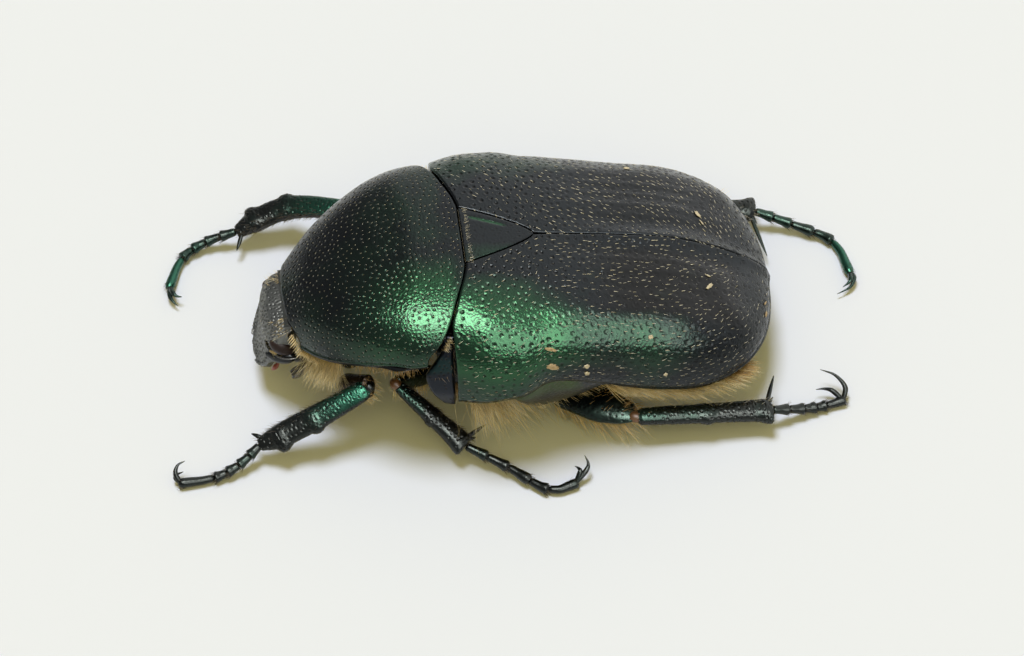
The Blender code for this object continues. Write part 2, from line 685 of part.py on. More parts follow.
def hind_coxa(side, name, finish, parent):
    """The bar of the hind coxa across the belly, and its leaf-shaped plate at the side."""

    def plan(f, g):
        return f, g

    def place(u, v):
        x = mix(*COXA_LEAF_X, u)
        top = through(CASE_MARGIN_Z, x) - GAP - 0.05
        low = min(through(COXA_LEAF_LOW_Z, u), top - 0.3)
        return x, mix(low, top, v)

    def outer(u, v):
        x, z = place(u, v)
        return x, side * (through(CASE_HALF_WIDTH, x) - COXA_LEAF_SET_IN - 0.4 * (1 - v) ** 2), z

    def inner(u, v):
        x, z = place(u, v)
        return x, side * COXA_LEAF_INNER_Y, z

    bar_route = [flip(p, side) for p in COXA_BAR]
    width = COXA_BAR_HALF_WIDTH
    stations = [(0.0, width * 0.7, width * 0.7), (0.15, width, width), (0.8, width, width), (1.0, 0.8, 0.8)]
    bar = limb(bar_route, stations, 0.36, Vector((1.0, 0.0, 0.0)), 12)
    cut_or_join("coxa_hind_" + name, slab(10, 5, plan, outer, inner), [bar], finish, parent)


def tail_plate(finish, parent):
    """The last plate of the body, under the ends of the wing cases."""

    def plan(f, g):
        return f, 2 * g - 1

    def outer(u, v):
        y = v * mix(*TAIL_PLATE_HALF_WIDTH, u)
        return mix(*TAIL_PLATE_X, u) - TAIL_PLATE_BOW * v * v, y, mix(*TAIL_PLATE_Z, u) + 0.1 * v * v * (1 - u)

    def inner(u, v):
        x, y, z = outer(u, v)
        return x - CASE_THICK, y, z

    mesh_object("pygidium", *slab(4, 10, plan, outer, inner), finish, parent)


def toward(start, end, distance):
    """A point at a distance from start, on the way to end."""
    return start + (end - start).normalized() * distance


def hip_coxa(pair, side, name, finish, parent):
    route = [flip(p, side) for p in HIP_COXA[pair]]
    base, tip = COXA_RADII
    stations = [(0.0, base * 0.7, base * 0.7), (0.2, base, base), (0.8, tip, tip), (1.0, tip * 0.7, tip * 0.7)]
    mesh_object("coxa_" + name, *limb(route, stations, 1.0, Vector((1.0, 0.0, 0.0)), 10), finish, parent)


def leg(name, finish, parent):
    """Femur, tibia with its teeth and spur, and foot with its claws."""
    pair, sidename = name.split("_")
    data = LEGS[name]
    hip, knee, ankle, outer = (Vector(data[key]) for key in ("hip", "knee", "ankle", "outer"))
    if pair != "hind":
        hip_coxa(pair, -1 if sidename == "left" else 1, name, finish, parent)
    width, flat = FEMUR_WIDTHS[pair]
    femur = [(0.0, 0.24, 0.24), (0.07, 0.34, 0.34), (0.3, width, width), (0.6, width, width * 0.95),
             (0.85, width * 0.72, width * 0.72), (0.96, 0.34, 0.34), (1.0, 0.24, 0.24)]
    mesh_object("femur_" + name, *limb([hip, knee], femur, flat * 1.1, outer, 10), finish, parent)

    route = [Vector(data["shin"]), ankle] if "shin" in data else [ankle]
    start = toward(knee, route[0], KNEE_ROOM)
    shin = limb([start] + route, TIBIA_WIDTHS[pair], TIBIA_FLAT[pair], outer, 10)
    spur_root = toward(ankle, start, 0.3) - outer * 0.1
    spur = spike(spur_root, Vector(data["spur"]), SPUR_RADIUS)
    cut_or_join("tibia_" + name, shin, [spur], finish, parent)
    foot(name, data, finish, parent)


def foot(name, data, finish, parent):
    """The five foot joints in one, lying on the floor at their end, with two claws."""
    route = [Vector(p) for p in data["foot"]]
    ankle = Vector(data["ankle"])
    route.insert(0, toward(ankle, route[0], ANKLE_ROOM))
    slim, full = FOOT_RADII
    stations = [(0.0, slim * 0.8, slim * 0.8)]
    for first, last in zip(FOOT_JOINTS, FOOT_JOINTS[1:]):
        stations.append((first + 0.03, slim, slim))
        stations.append((last - 0.02, full, full))
    stations[-1] = (1.0, slim, slim)
    across = Vector((0.0, 0.0, 1.0)).cross(route[-1] - route[0]).normalized()
    points, faces = limb(route, stations, 1.0, across, 8, 0.5)
    points = [Vector((p.x, p.y, 0.0 if p.z < 0.05 else p.z)) for p in points]
    end = route[-1]
    ahead = (route[-1] - route[-2]).normalized()
    claws = []
    for tip in data["claws"]:
        tip = Vector(tip)
        bow = (end + tip) / 2 + ahead * CLAW_BOW
        claws.append(spike(end - ahead * 0.15, tip, CLAW_RADIUS, bow))
    cut_or_join("tarsus_" + name, (points, faces), claws, finish, parent)


def stand_on_origin(root):
    """Moves the whole beetle so that the middle of its box, at floor level, is the origin."""
    bpy.context.view_layer.update()
    seen = bpy.context.evaluated_depsgraph_get()
    low = Vector((1.0, 1.0, 1.0))
    high = -low
    for item in bpy.data.collections["rose_chafer"].objects:
        if item.type != "MESH":
            continue
        for vert in item.evaluated_get(seen).data.vertices:
            for axis in range(3):
                low[axis] = min(low[axis], vert.co[axis])
                high[axis] = max(high[axis], vert.co[axis])
    root.location = (-(low.x + high.x) / 2, -(low.y + high.y) / 2, -low.z)
    bpy.context.view_layer.update()


def build():
    clean_scene()
    parts = bpy.data.collections.new("rose_chafer")
    bpy.context.scene.collection.children.link(parts)
    root = bpy.data.objects.new("beetle", None)
    parts.objects.link(root)
    shell = material("shell_green", (0.02, 0.09, 0.05), 0.35, 0.8)
    dark = material("dark_chitin", (0.02, 0.03, 0.03), 0.4, 0.4)
    eye = material("eye_brown", (0.10, 0.03, 0.02), 0.25, 0.0)
    red = material("palp_red", (0.25, 0.05, 0.03), 0.4, 0.0)
    prothorax(shell, root)
    head(dark, root)
    mouthparts(red, root)
    scutellum(shell, root)
    thorax(dark, root)
    abdomen(dark, root)
    tail_plate(shell, root)
    for side, name in ((-1, "left"), (1, "right")):
        wing_case("elytron_" + name, side, shell, root)
        side_plate(side, name, shell, root)
        hind_coxa(side, name, shell, root)
        face_parts(side, name, eye, dark, red, root)
    for name in LEGS:
        leg(name, dark, root)
    stand_on_origin(root)


build()
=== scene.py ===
"""The looks of a rose chafer on its six feet: its shell plates, head, legs and hair, and the photo's camera.

Sizes are millimetres in the beetle's own frame, as in the part's source: x runs from head to tail and is 0 at
the hind edge of the pronotum, y is negative on the left side, and z is 0 on the floor. to_row turns them into
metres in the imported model's frame.
"""

import math

import bmesh
import bpy
import numpy as np
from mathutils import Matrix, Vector
from mathutils.kdtree import KDTree


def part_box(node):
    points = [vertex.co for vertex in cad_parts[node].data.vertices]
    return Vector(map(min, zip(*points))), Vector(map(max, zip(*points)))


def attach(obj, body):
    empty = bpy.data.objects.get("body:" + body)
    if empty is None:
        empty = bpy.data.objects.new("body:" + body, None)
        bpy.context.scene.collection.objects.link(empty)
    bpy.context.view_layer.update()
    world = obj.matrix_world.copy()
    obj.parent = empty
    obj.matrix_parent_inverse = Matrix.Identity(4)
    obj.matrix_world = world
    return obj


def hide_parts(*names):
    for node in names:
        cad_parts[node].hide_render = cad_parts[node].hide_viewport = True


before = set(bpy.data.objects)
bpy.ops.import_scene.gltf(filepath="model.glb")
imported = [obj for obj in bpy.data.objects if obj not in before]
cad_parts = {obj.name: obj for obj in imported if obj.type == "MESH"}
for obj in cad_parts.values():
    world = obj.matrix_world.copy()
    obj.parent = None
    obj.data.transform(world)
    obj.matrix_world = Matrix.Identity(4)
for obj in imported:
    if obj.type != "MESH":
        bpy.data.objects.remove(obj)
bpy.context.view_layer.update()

MM = 0.001
TINY = 1e-6

# The photo's camera, in degrees and millimetres
VIEW_AZIMUTH = -7.0
VIEW_ELEVATION = 54.0
VIEW_TARGET = (2.12, 0.0, 0.97)
VIEW_DISTANCE = 260.0
PIXELS_PER_MM = 23.45
PHOTO_WIDTH = 1024
SENSOR_WIDTH = 36.0

# Wing cases, as in the part's source
CREST_Z = 8.0
CREST_SLOPE = 0.10
CREST_BEND = 0.010
CASE_THICK = 0.45
CASE_REAR_START = 8.0
CASE_END = 13.05
CASE_CORNER = 2.5
CASE_SIDE_ROUND = 2.8
CASE_REAR_ROUND = 2.0
CASE_HALF_WIDTH = [(-0.9, 5.6), (0.6, 5.95), (1.7, 5.95), (3.2, 5.52), (5.0, 5.45), (8.0, 5.42)]
CASE_MARGIN_Z = [(-0.9, 3.85), (1.5, 4.1), (3.2, 4.5), (5.0, 4.0), (7.5, 3.1), (10.0, 2.75), (13.1, 2.8)]
CASE_BASE_X = [(0.0, 0.1), (1.4, 0.1), (1.9, 0.0), (2.9, -0.36), (3.6, -0.62), (4.3, -0.86), (4.8, -0.86),
               (5.2, -0.84)]
CASE_INNER_END = 11.8
SHOULDER_BUMP = (0.7, 4.4, 0.9, 0.12)
TAIL_BUMP = (11.3, 3.3, 0.8, 0.20)
SUTURE_HALF_GAP = 0.015

SCUTELLUM_FRONT = 0.2
SCUTELLUM_START = 0.02
SCUTELLUM_END = 3.0
SCUTELLUM_HALF_WIDTH = 1.42
SCUTELLUM_TIP = 0.06
SCUTELLUM_GAP = 0.035
SCUTELLUM_BOW = 0.72

# Relief of the wing cases: lines of the costae, and height and width of what runs lengthwise
COSTA_LINES = (1.15, 1.75, 2.35, 2.95)
COSTA = (0.022, 0.16)
SUTURE_RIDGE = (0.10, 0.30)
SUTURE_GROOVE = (0.10, 0.85, 0.5)
DISC_HOLLOW = (0.09, 2.3, 0.9)
SIDE_SWELL = (0.06, 3.7, 0.45)
# Share of the painted sheen that the far, right side keeps: painted shade on that side
FAR_SIDE_PAINTED_SHEEN = 0.35

# Punctures: least spacing, number tried, range of radii, range of depths, and height of the rim
PITS = {
    "case": (0.27, 6500, (0.085, 0.125), (0.025, 0.045), 0.010),
    "pronotum": (0.20, 7000, (0.062, 0.085), (0.022, 0.036), 0.006),
    "scutellum": (0.17, 400, (0.05, 0.07), (0.012, 0.02), 0.004),
    "head": (0.145, 4200, (0.060, 0.080), (0.035, 0.055), 0.018),
    "thorax": (0.26, 3600, (0.07, 0.1), (0.02, 0.03), 0.005),
    "abdomen": (0.24, 3200, (0.06, 0.09), (0.015, 0.025), 0.004),
    "side_plate": (0.16, 500, (0.05, 0.07), (0.02, 0.03), 0.005),
    "leaf": (0.17, 1400, (0.07, 0.09), (0.02, 0.03), 0.008),
    "tail_plate": (0.12, 1200, (0.05, 0.07), (0.015, 0.025), 0.006),
}

# Coat: stretch of the body that its map covers, hairs in a lock, lowest place of a hair, side of a map patch
COAT_SPAN = (-10.0, 14.0)
HAIRS_PER_CLUMP = 9
HAIR_LOW = 0.03
COAT_PATCH = 0.003

# Prothorax, along its side from the front corner, 0, to the hind corner, 1
PRONOTUM_HALF_WIDTH = [(0.0, 2.1), (0.09, 2.8), (0.2, 3.4), (0.38, 4.05), (0.6, 4.6), (0.88, 5.0),
                       (1.0, 5.05)]
PRONOTUM_CREST_Z = [(0.0, 5.2), (0.15, 6.25), (0.35, 7.2), (0.55, 7.75), (0.75, 8.0), (1.0, 7.95)]
PRONOTUM_MARGIN_Z = [(0.0, 4.0), (0.2, 4.55), (0.38, 5.0), (0.6, 5.45), (1.0, 5.75)]
PRONOTUM_FRONT_X = [(0.0, -7.70), (0.6, -7.58), (1.0, -7.12)]
PRONOTUM_REAR_X = [(0.0, -0.02), (1.4, -0.02), (2.0, -0.13), (3.0, -0.5), (4.15, -0.98), (4.7, -1.38),
                   (5.05, -2.0)]
PRONOTUM_ROUND = 2.6
PRONOTUM_THICK = 0.45
PROSTERNUM_Z = [(0.0, 3.4), (0.2, 2.7), (0.5, 2.3), (0.8, 2.4), (1.0, 2.9)]
PROSTERNUM_ROUND = 1.1
PROSTERNUM_SET_BACK = (1.1, -1.1)

# Head, in its own frame: s runs down the face from the neck, 0, to the mouth shield's end, 1
NECK = np.array([-7.72, 0.0, 4.72])
FACE_END = np.array([-8.85, 0.0, 1.45])
HEAD_HALF_WIDTH = [(0.0, 1.5), (0.1, 1.62), (0.29, 1.75), (0.42, 1.68), (0.55, 1.47), (0.74, 1.40),
                   (0.86, 1.33), (0.94, 1.16), (1.0, 0.80)]
HEAD_FACE = [(0.0, 0.10), (0.12, 0.38), (0.3, 0.47), (0.5, 0.32), (0.68, 0.15), (0.9, 0.06), (1.0, 0.16)]
CROWN = (0.16, 0.75)
HEAD_BACK = [(0.0, -0.05), (0.1, -0.42), (0.4, -1.1), (0.56, -0.65), (0.72, -0.45), (1.0, -0.3)]
HEAD_EDGE_FACE = [(0.0, 0.05), (0.2, -0.22), (1.0, -0.2)]
HEAD_EDGE_BACK = [(0.0, -0.05), (0.25, -0.48), (1.0, -0.38)]
HEAD_ROUND = 2.5
EYE_PLACE = (0.363, 1.50, -0.36)
EYE_RADII = (0.66, 0.40, 0.40)
FEELER_PIT = (0.47, 1.36, 0.20)
# How far the club's leaves stand apart, from their root, 0, to their tip, 1
CLUB_FAN = ((0.0, 0.03), (0.35, 0.10), (0.7, 0.145), (1.0, 0.13))

# Belly
BELLY_Z = [(-0.9, 3.0), (0.0, 2.5), (0.5, 1.25), (1.3, 1.05), (2.2, 1.15), (2.7, 2.9), (5.3, 2.9)]
ABDOMEN_Z = [(5.3, 1.6), (5.8, 1.15), (7.5, 1.1), (9.5, 1.3), (11.4, 1.75)]
THORAX_HALF_WIDTH = [(0.0, 4.2), (0.18, 4.5), (0.3, 4.2), (1.0, 4.2)]
THORAX_REAR = 5.6
THORAX_FRONT_LEAN = -0.7
THORAX_EDGE_DROP = 0.3
ABDOMEN_FRONT = 5.4
ABDOMEN_REAR = 11.2
ABDOMEN_CORNER = 2.6
ABDOMEN_SEAMS = (0.1, 0.3, 0.48, 0.66, 0.83)
TRUNK_INSET = 0.6

# Side plate, from its lower corner, 0, to its upper corner, 1
SIDE_PLATE_Z = (3.2, 6.1)
SIDE_PLATE_REACH = 1.22
SIDE_PLATE_FRONT_X = [(0.0, -1.4), (0.3, -1.85), (0.62, -2.1), (0.83, -1.7), (1.0, -1.38)]
SIDE_PLATE_REAR_X = -0.93
SIDE_PLATE_Y = [(0.0, 5.3), (0.3, 5.4), (0.62, 5.2), (0.83, 4.95), (1.0, 4.7)]
SIDE_PLATE_TURN = 0.15

# Hind coxa
COXA_BAR = ((4.15, 0.15, 2.05), (4.05, 4.5, 2.45))
COXA_BAR_HALF_WIDTH = 1.15
COXA_LEAF_X = (1.3, 5.65)
COXA_LEAF_LOW_Z = [(0.0, 3.75), (0.2, 2.6), (0.38, 2.1), (0.65, 2.35), (1.0, 3.3)]
COXA_LEAF_SET_IN = 0.16

TAIL_PLATE_X = (12.4, 12.15)
TAIL_PLATE_Z = (2.6, 1.55)
TAIL_PLATE_HALF_WIDTH = (2.9, 1.2)
TAIL_PLATE_BOW = 0.35

# Legs: hip, knee and ankle, the way the outer edge faces, the route of the foot, the tip of the spur, and the
# routes of the two claws
LEGS = {
    "fore_left": {
        "hip": (-5.55, -2.7, 1.85), "knee": (-4.35, -3.85, 3.15), "shin": (-6.8, -4.4, 2.02),
        "ankle": (-9.15, -4.75, 0.95), "outer": (0.1, -0.90, -0.42),
        "foot": [(-10.1, -5.35, 0.55), (-11.2, -5.7, 0.27), (-12.7, -5.8, 0.27)],
        "spur": (-9.45, -4.25, 1.15),
        "claws": [[(-12.79, -5.5, 0.55), (-12.67, -5.21, 0.75), (-12.34, -5.09, 0.85)],
                  [(-12.80, -5.55, 0.35), (-12.70, -5.35, 0.3), (-12.45, -5.25, 0.3)]],
    },
    "fore_right": {
        "hip": (-5.05, 2.35, 1.6), "knee": (-4.2, 5.8, 2.75), "shin": (-6.8, 6.95, 1.75),
        "ankle": (-9.05, 6.6, 0.92), "outer": (0.0, 1.0, 0.1),
        "foot": [(-10.4, 6.5, 0.5), (-11.5, 5.9, 0.27), (-12.2, 4.4, 0.27)], "spur": (-9.13, 5.73, 0.7),
        "claws": [[(-12.19, 3.92, 0.35), (-12.08, 3.6, 0.36), (-11.9, 3.39, 0.3)],
                  [(-12.05, 3.95, 0.5), (-11.9, 3.75, 0.52), (-11.69, 3.7, 0.5)]],
    },
    "mid_left": {
        "hip": (-1.5, -2.05, 1.15), "knee": (-3.25, -3.35, 2.5), "ankle": (-0.55, -5.8, 0.9),
        "outer": (-0.66, -0.75, 0.0), "foot": [(1.1, -6.8, 0.5), (2.7, -8.0, 0.27), (3.95, -7.8, 0.27)],
        "spur": (0.42, -4.81, 0.9),
        "claws": [[(4.36, -7.43, 0.6), (4.46, -7.18, 0.75), (4.35, -6.88, 0.9)],
                  [(4.08, -7.5, 0.6), (4.03, -7.34, 0.66), (3.89, -7.24, 0.7)]],
    },
    "mid_right": {
        "hip": (-1.5, 2.05, 1.15), "knee": (-2.9, 4.3, 2.7), "ankle": (0.1, 6.5, 0.9),
        "outer": (-0.66, 0.75, 0.0), "foot": [(1.7, 7.3, 0.5), (3.2, 8.0, 0.27), (4.5, 7.8, 0.27)],
        "spur": (1.0, 5.6, 0.9),
        "claws": [[(4.9, 7.5, 0.6), (5.0, 7.2, 0.75), (4.9, 6.9, 0.9)],
                  [(4.65, 7.5, 0.6), (4.62, 7.36, 0.6), (4.5, 7.25, 0.7)]],
    },
    "hind_left": {
        "hip": (3.1, -2.7, 0.85), "knee": (6.67, -5.6, 1.5), "ankle": (12.5, -5.6, 1.0),
        "outer": (0.0, -1.0, 0.0), "foot": [(13.9, -5.35, 0.5), (14.9, -5.15, 0.27), (15.75, -4.95, 0.27)],
        "spur": (12.78, -4.07, 1.3),
        "claws": [[(15.8, -4.53, 0.6), (15.44, -4.0, 0.8), (14.84, -3.7, 0.9)],
                  [(15.27, -4.6, 0.5), (14.95, -4.46, 0.52), (14.56, -4.43, 0.5)]],
    },
    "hind_right": {
        "hip": (3.6, 2.8, 0.85), "knee": (7.6, 5.4, 1.6), "ankle": (13.3, 4.9, 1.0),
        "outer": (0.0, 1.0, 0.0), "foot": [(14.8, 4.4, 0.5), (16.5, 3.4, 0.27), (17.0, 1.6, 0.27)],
        "spur": (13.53, 2.73, 0.6),
        "claws": [[(17.1, 1.29, 0.35), (16.87, 0.87, 0.3), (16.26, 0.57, 0.3)],
                  [(16.95, 1.2, 0.45), (16.81, 1.0, 0.45), (16.54, 0.8, 0.45)]],
    },
}
# Widths and stretches of the leg's segments: outer and inner half width at places from 0 to 1 along each
HIP_COXA = {"fore": ((-5.0, 1.5, 2.2), (-4.9, 0.9, 1.3)), "mid": ((-0.9, 1.7, 2.2), (-0.6, 1.05, 1.2))}
FEMUR_END = {"fore": 0.50, "mid": 0.36, "hind": 0.44}
FEMUR_WIDTHS = {"fore": (0.52, 0.62), "mid": (0.45, 0.55), "hind": (0.95, 0.40)}
TIBIA_WIDTHS = {
    "fore": [(0.0, 0.26, 0.26), (0.03, 0.40, 0.38), (0.08, 0.46, 0.44), (0.25, 0.50, 0.47),
             (0.43, 0.54, 0.52), (0.50, 0.68, 0.53), (0.53, 0.66, 0.53), (0.57, 0.55, 0.53),
             (0.72, 0.56, 0.52), (0.81, 0.74, 0.48), (0.84, 0.72, 0.46), (0.88, 0.50, 0.42),
             (0.95, 0.36, 0.36), (1.0, 0.24, 0.26)],
    "mid": [(0.0, 0.16, 0.16), (0.05, 0.26, 0.26), (0.2, 0.32, 0.32), (0.45, 0.38, 0.38), (0.54, 0.46, 0.40),
            (0.60, 0.40, 0.40), (0.85, 0.48, 0.46), (0.93, 0.56, 0.46), (0.98, 0.58, 0.30),
            (1.0, 0.50, 0.16)],
    "hind": [(0.0, 0.30, 0.30), (0.03, 0.38, 0.38), (0.2, 0.41, 0.41), (0.44, 0.44, 0.42), (0.52, 0.52, 0.44),
             (0.58, 0.45, 0.43), (0.88, 0.50, 0.48), (0.94, 0.60, 0.48), (0.985, 0.66, 0.32),
             (1.0, 0.58, 0.16)],
}
# Painted green sheen of each pair's tibiae near the knee, and of the plain and last foot joints on the left
# and right: painted highlights
LEG_PAINTED_SHEEN = {"fore": 0.9, "mid": 0.35, "hind": 0.3}
FOOT_PAINTED_SHEEN = {"left": (0.15, 0.15), "right": (0.3, 0.9)}
TIBIA_FLAT = {"fore": 0.62, "mid": 0.75, "hind": 0.75}
KNEE_ROOM = 0.10
ANKLE_ROOM = 0.02
FOOT_JOINTS = (0.0, 0.17, 0.34, 0.50, 0.66, 1.0)
LAST_JOINT = len(FOOT_JOINTS) - 2
FOOT_STEPS = 60
FOOT_LOW = 0.004

# Suns: name, azimuth and elevation, breadth in degrees, energy, whether it lights matte surfaces, whether it
# gleams on glossy ones, and colour
WHITE = (1.0, 1.0, 1.0)
SUNS = [
    ("key", -150.0, 78.0, 20.0, 2.22, True, False, (0.913, 0.930, 1.0)),
    ("fill", VIEW_AZIMUTH, 56.0, 40.0, 0.32, True, False, (1.0, 0.86, 0.30)),
    ("gleam", -15.0, 76.0, 30.0, 3.0, False, True, WHITE),
    ("gleam_by_camera", 28.0, 42.0, 40.0, 1.7, False, True, WHITE),
]
# The room: the way to its bright side, how near to that way it starts and ends, and what glossy and matte
# surfaces see of it
ROOM_SHINE = (0.77, 0.54, 0.34)
ROOM_SPAN = (0.35, 0.9)
ROOM_DIM = (0.28, 0.29, 0.30)
ROOM_BRIGHT = (1.5, 1.5, 1.5)
ROOM_MATTE = (0.46, 0.38, 0.14)
FLOOR_COLOUR = (0.741, 0.802, 0.971)
FLOOR_HALF_WIDTH = 2.0


def through(stations, x):
    """The values at x on a smooth curve through (x, value) stations, level where the stations turn."""
    places, values = np.array(stations, float).T
    x = np.clip(np.asarray(x, float), places[0], places[-1])
    slopes = np.diff(values) / np.diff(places)
    tangents = np.empty_like(values)
    tangents[0], tangents[-1] = slopes[0], slopes[-1]
    before, after = slopes[:-1], slopes[1:]
    turns = before * after <= 0
    tangents[1:-1] = np.where(turns, 0.0, 2 * before * after / np.where(turns, 1.0, before + after))
    i = np.clip(np.searchsorted(places, x, side="right") - 1, 0, len(places) - 2)
    step = places[i + 1] - places[i]
    f = (x - places[i]) / step
    return (values[i] * (1 + 2 * f) * (1 - f) ** 2 + tangents[i] * step * f * (1 - f) ** 2
            + values[i + 1] * f * f * (3 - 2 * f) + tangents[i + 1] * step * f * f * (f - 1))


def mix(a, b, f):
    """The value a share f of the way from a to b."""
    return a + (b - a) * f


def smooth(low, high, x):
    """0 below low, 1 above high, and a smooth rise between."""
    f = np.clip((np.asarray(x, float) - low) / (high - low), 0, 1)
    return f * f * (3 - 2 * f)


def dome(rho, power):
    """Height of a rounded section, 1 in the middle and 0 at the edge, rho from 0 to 1."""
    return (1 - np.minimum(np.abs(rho), 1.0) ** power) ** (1 / power)


def swell(x, middle, width):
    """A smooth swelling, 1 at the middle."""
    return np.exp(-((x - middle) / width) ** 2)


def edge_fall(edge, fall, width):
    """How far a plate's rounded edge falls, from the distance to the edge."""
    return fall * np.clip(1 - edge / width, 0, 1) ** 2


def sided(side, *points):
    """Points given for the right side, mirrored where side is -1."""
    return [np.array(point) * np.array([1.0, side, 1.0]) for point in points]


def bump(x, y, spot):
    """Height of a round bump that stands on both sides of the body."""
    cx, cy, radius, height = spot
    return height * np.exp(-((x - cx) ** 2 + (np.abs(y) - cy) ** 2) / radius ** 2)


def case_reach(back, side):
    """How far out a point lies between the middle, 0, and the margin, 1, of the rounded rear."""
    rho = np.ones_like(back)
    for _ in range(8):
        power = mix(2.0, CASE_CORNER, np.minimum(rho, 1.0))
        rho = (back ** power + side ** power + TINY) ** (1 / power)
    return rho


def case_z(x, y, inset=0.0):
    """Height of the closed wing cases over points, or of a like surface set in by inset."""
    x, y = np.broadcast_arrays(np.asarray(x, float), np.asarray(y, float))
    half = through(CASE_HALF_WIDTH, np.minimum(x, CASE_REAR_START)) - inset
    back = np.maximum(x - CASE_REAR_START, 0.0) / (CASE_END - CASE_REAR_START - inset)
    side = np.abs(y) / half
    turn = back * back / (back * back + side * side + TINY)
    power = mix(CASE_SIDE_ROUND, CASE_REAR_ROUND, turn)
    margin = through(CASE_MARGIN_Z, x)
    rise = dome(case_reach(back, side), power)
    crest = CREST_Z - CREST_SLOPE * x - CREST_BEND * x * x
    z = margin + (crest - inset - margin) * rise
    return z + (bump(x, y, SHOULDER_BUMP) + bump(x, y, TAIL_BUMP)) * np.minimum(1.0, 3 * rise)


def find_shift():
    """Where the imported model's frame sets the beetle's own, in millimetres, from the scutellum."""
    low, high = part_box("scutellum")
    return np.array([low.x / MM - SCUTELLUM_FRONT, (low.y + high.y) / 2 / MM, 0.0])


SHIFT = find_shift()


def to_row(points):
    """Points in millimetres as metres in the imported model's frame."""
    return (np.asarray(points, float) + SHIFT) * MM


def unit(vectors):
    """Vectors of the same ways, with a length of 1."""
    return vectors / np.maximum(np.linalg.norm(vectors, axis=-1, keepdims=True), TINY)


class Sheet:
    """A grid of surface points with the outward normal and the lengthwise direction at each."""

    def __init__(self, points, outward):
        self.points = points
        along = np.gradient(points, axis=0)
        across = np.gradient(points, axis=1)
        self.normals = unit(np.cross(along, across))
        middle = tuple(n // 2 for n in points.shape[:2])
        if np.dot(self.normals[middle], outward) < 0:
            self.normals = -self.normals
        self.along = unit(along)
        self.area = np.linalg.norm(np.cross(along, across), axis=-1)

    def at(self, i, j):
        """Position, normal and lengthwise direction at fractional grid places."""
        rows, columns = self.points.shape[:2]
        a = np.clip(i.astype(int), 0, rows - 2)
        b = np.clip(j.astype(int), 0, columns - 2)
        f, g = (i - a)[:, None], (j - b)[:, None]
        found = []
        for grid in (self.points, self.normals, self.along):
            low = mix(grid[a, b], grid[a, b + 1], g)
            high = mix(grid[a + 1, b], grid[a + 1, b + 1], g)
            found.append(mix(low, high, f))
        return found[0], unit(found[1]), unit(found[2])

    def scatter(self, spacing, count, seed, weight=None):
        """Grid places of spots at least spacing apart, more of them where weight is high."""
        draw = np.random.default_rng(seed)
        share = self.area[:-1, :-1] * (1.0 if weight is None else weight[:-1, :-1])
        chances = np.cumsum(share.ravel())
        cells = np.searchsorted(chances, draw.random(count) * chances[-1])
        columns = self.points.shape[1] - 1
        i = cells // columns + draw.random(count)
        j = cells % columns + draw.random(count)
        places = self.at(i, j)[0]
        kept, taken = [], {}
        keys = np.floor(places / spacing).astype(int)
        near = [(a, b, c) for a in (-1, 0, 1) for b in (-1, 0, 1) for c in (-1, 0, 1)]
        limit = spacing * spacing
        for n, (key, place) in enumerate(zip(map(tuple, keys.tolist()), places.tolist())):
            clear = True
            for a, b, c in near:
                for other in taken.get((key[0] + a, key[1] + b, key[2] + c), ()):
                    if sum((p - q) ** 2 for p, q in zip(place, other)) < limit:
                        clear = False
                        break
                if not clear:
                    break
            if clear:
                taken.setdefault(key, []).append(place)
                kept.append(n)
        return i[kept], j[kept]


def press_pits(sheet, i, j, radius, depth, rim, horseshoe):
    """Height change and strength of pits at grid places of a sheet; horseshoe 1 leaves the middle proud."""
    places, normals, along = sheet.at(i, j)
    tree = KDTree(len(places))
    for n, place in enumerate(places):
        tree.insert(place, n)
    tree.balance()
    flat = sheet.points.reshape(-1, 3)
    nearest = np.empty(len(flat), int)
    for n, point in enumerate(flat):
        nearest[n] = tree.find(point)[1]
    offset = flat - places[nearest]
    normal = normals[nearest]
    ahead = along[nearest]
    aside = np.cross(normal, ahead)
    u = (offset * ahead).sum(1) / radius[nearest]
    v = (offset * aside).sum(1) / radius[nearest]
    d = np.hypot(u, v)
    open_end = np.clip(0.5 - 0.5 * u / np.maximum(d, TINY), 0, 1)
    bowl = np.clip(1 - d * d, 0, 1) ** 2
    arc = swell(d, 0.62, 0.26) * mix(0.12, 1.0, open_end)
    shape = mix(bowl, arc, np.ravel(horseshoe))
    lip = swell(d, 1.12, 0.2)
    height = -depth[nearest] * shape + rim * lip
    size = sheet.points.shape[:2]
    return height.reshape(size), shape.reshape(size)


def punctures(sheet, kind, seeds, horseshoe=0.0, weight=None):
    """Pits of one kind scattered over a sheet: height change, pit strength and grid places."""
    spacing, count, radii, depths, rim = PITS[kind]
    i, j = sheet.scatter(spacing, count, seeds[0], weight)
    draw = np.random.default_rng(seeds[1])
    radius = draw.uniform(*radii, len(i))
    depth = draw.uniform(*depths, len(i))
    height, marks = press_pits(sheet, i, j, radius, depth, rim, horseshoe)
    return height, marks, (i, j)


def edge_distance(sheet):
    """Rough distance of each grid point from the sheet's low and high row, and its low and high column."""
    steps = np.linalg.norm(np.diff(sheet.points, axis=0), axis=-1)
    rows = np.vstack([np.zeros(steps.shape[1]), np.cumsum(steps, axis=0)])
    steps = np.linalg.norm(np.diff(sheet.points, axis=1), axis=-1)
    columns = np.hstack([np.zeros((steps.shape[0], 1)), np.cumsum(steps, axis=1)])
    return rows, rows[-1:] - rows, columns, columns[:, -1:] - columns


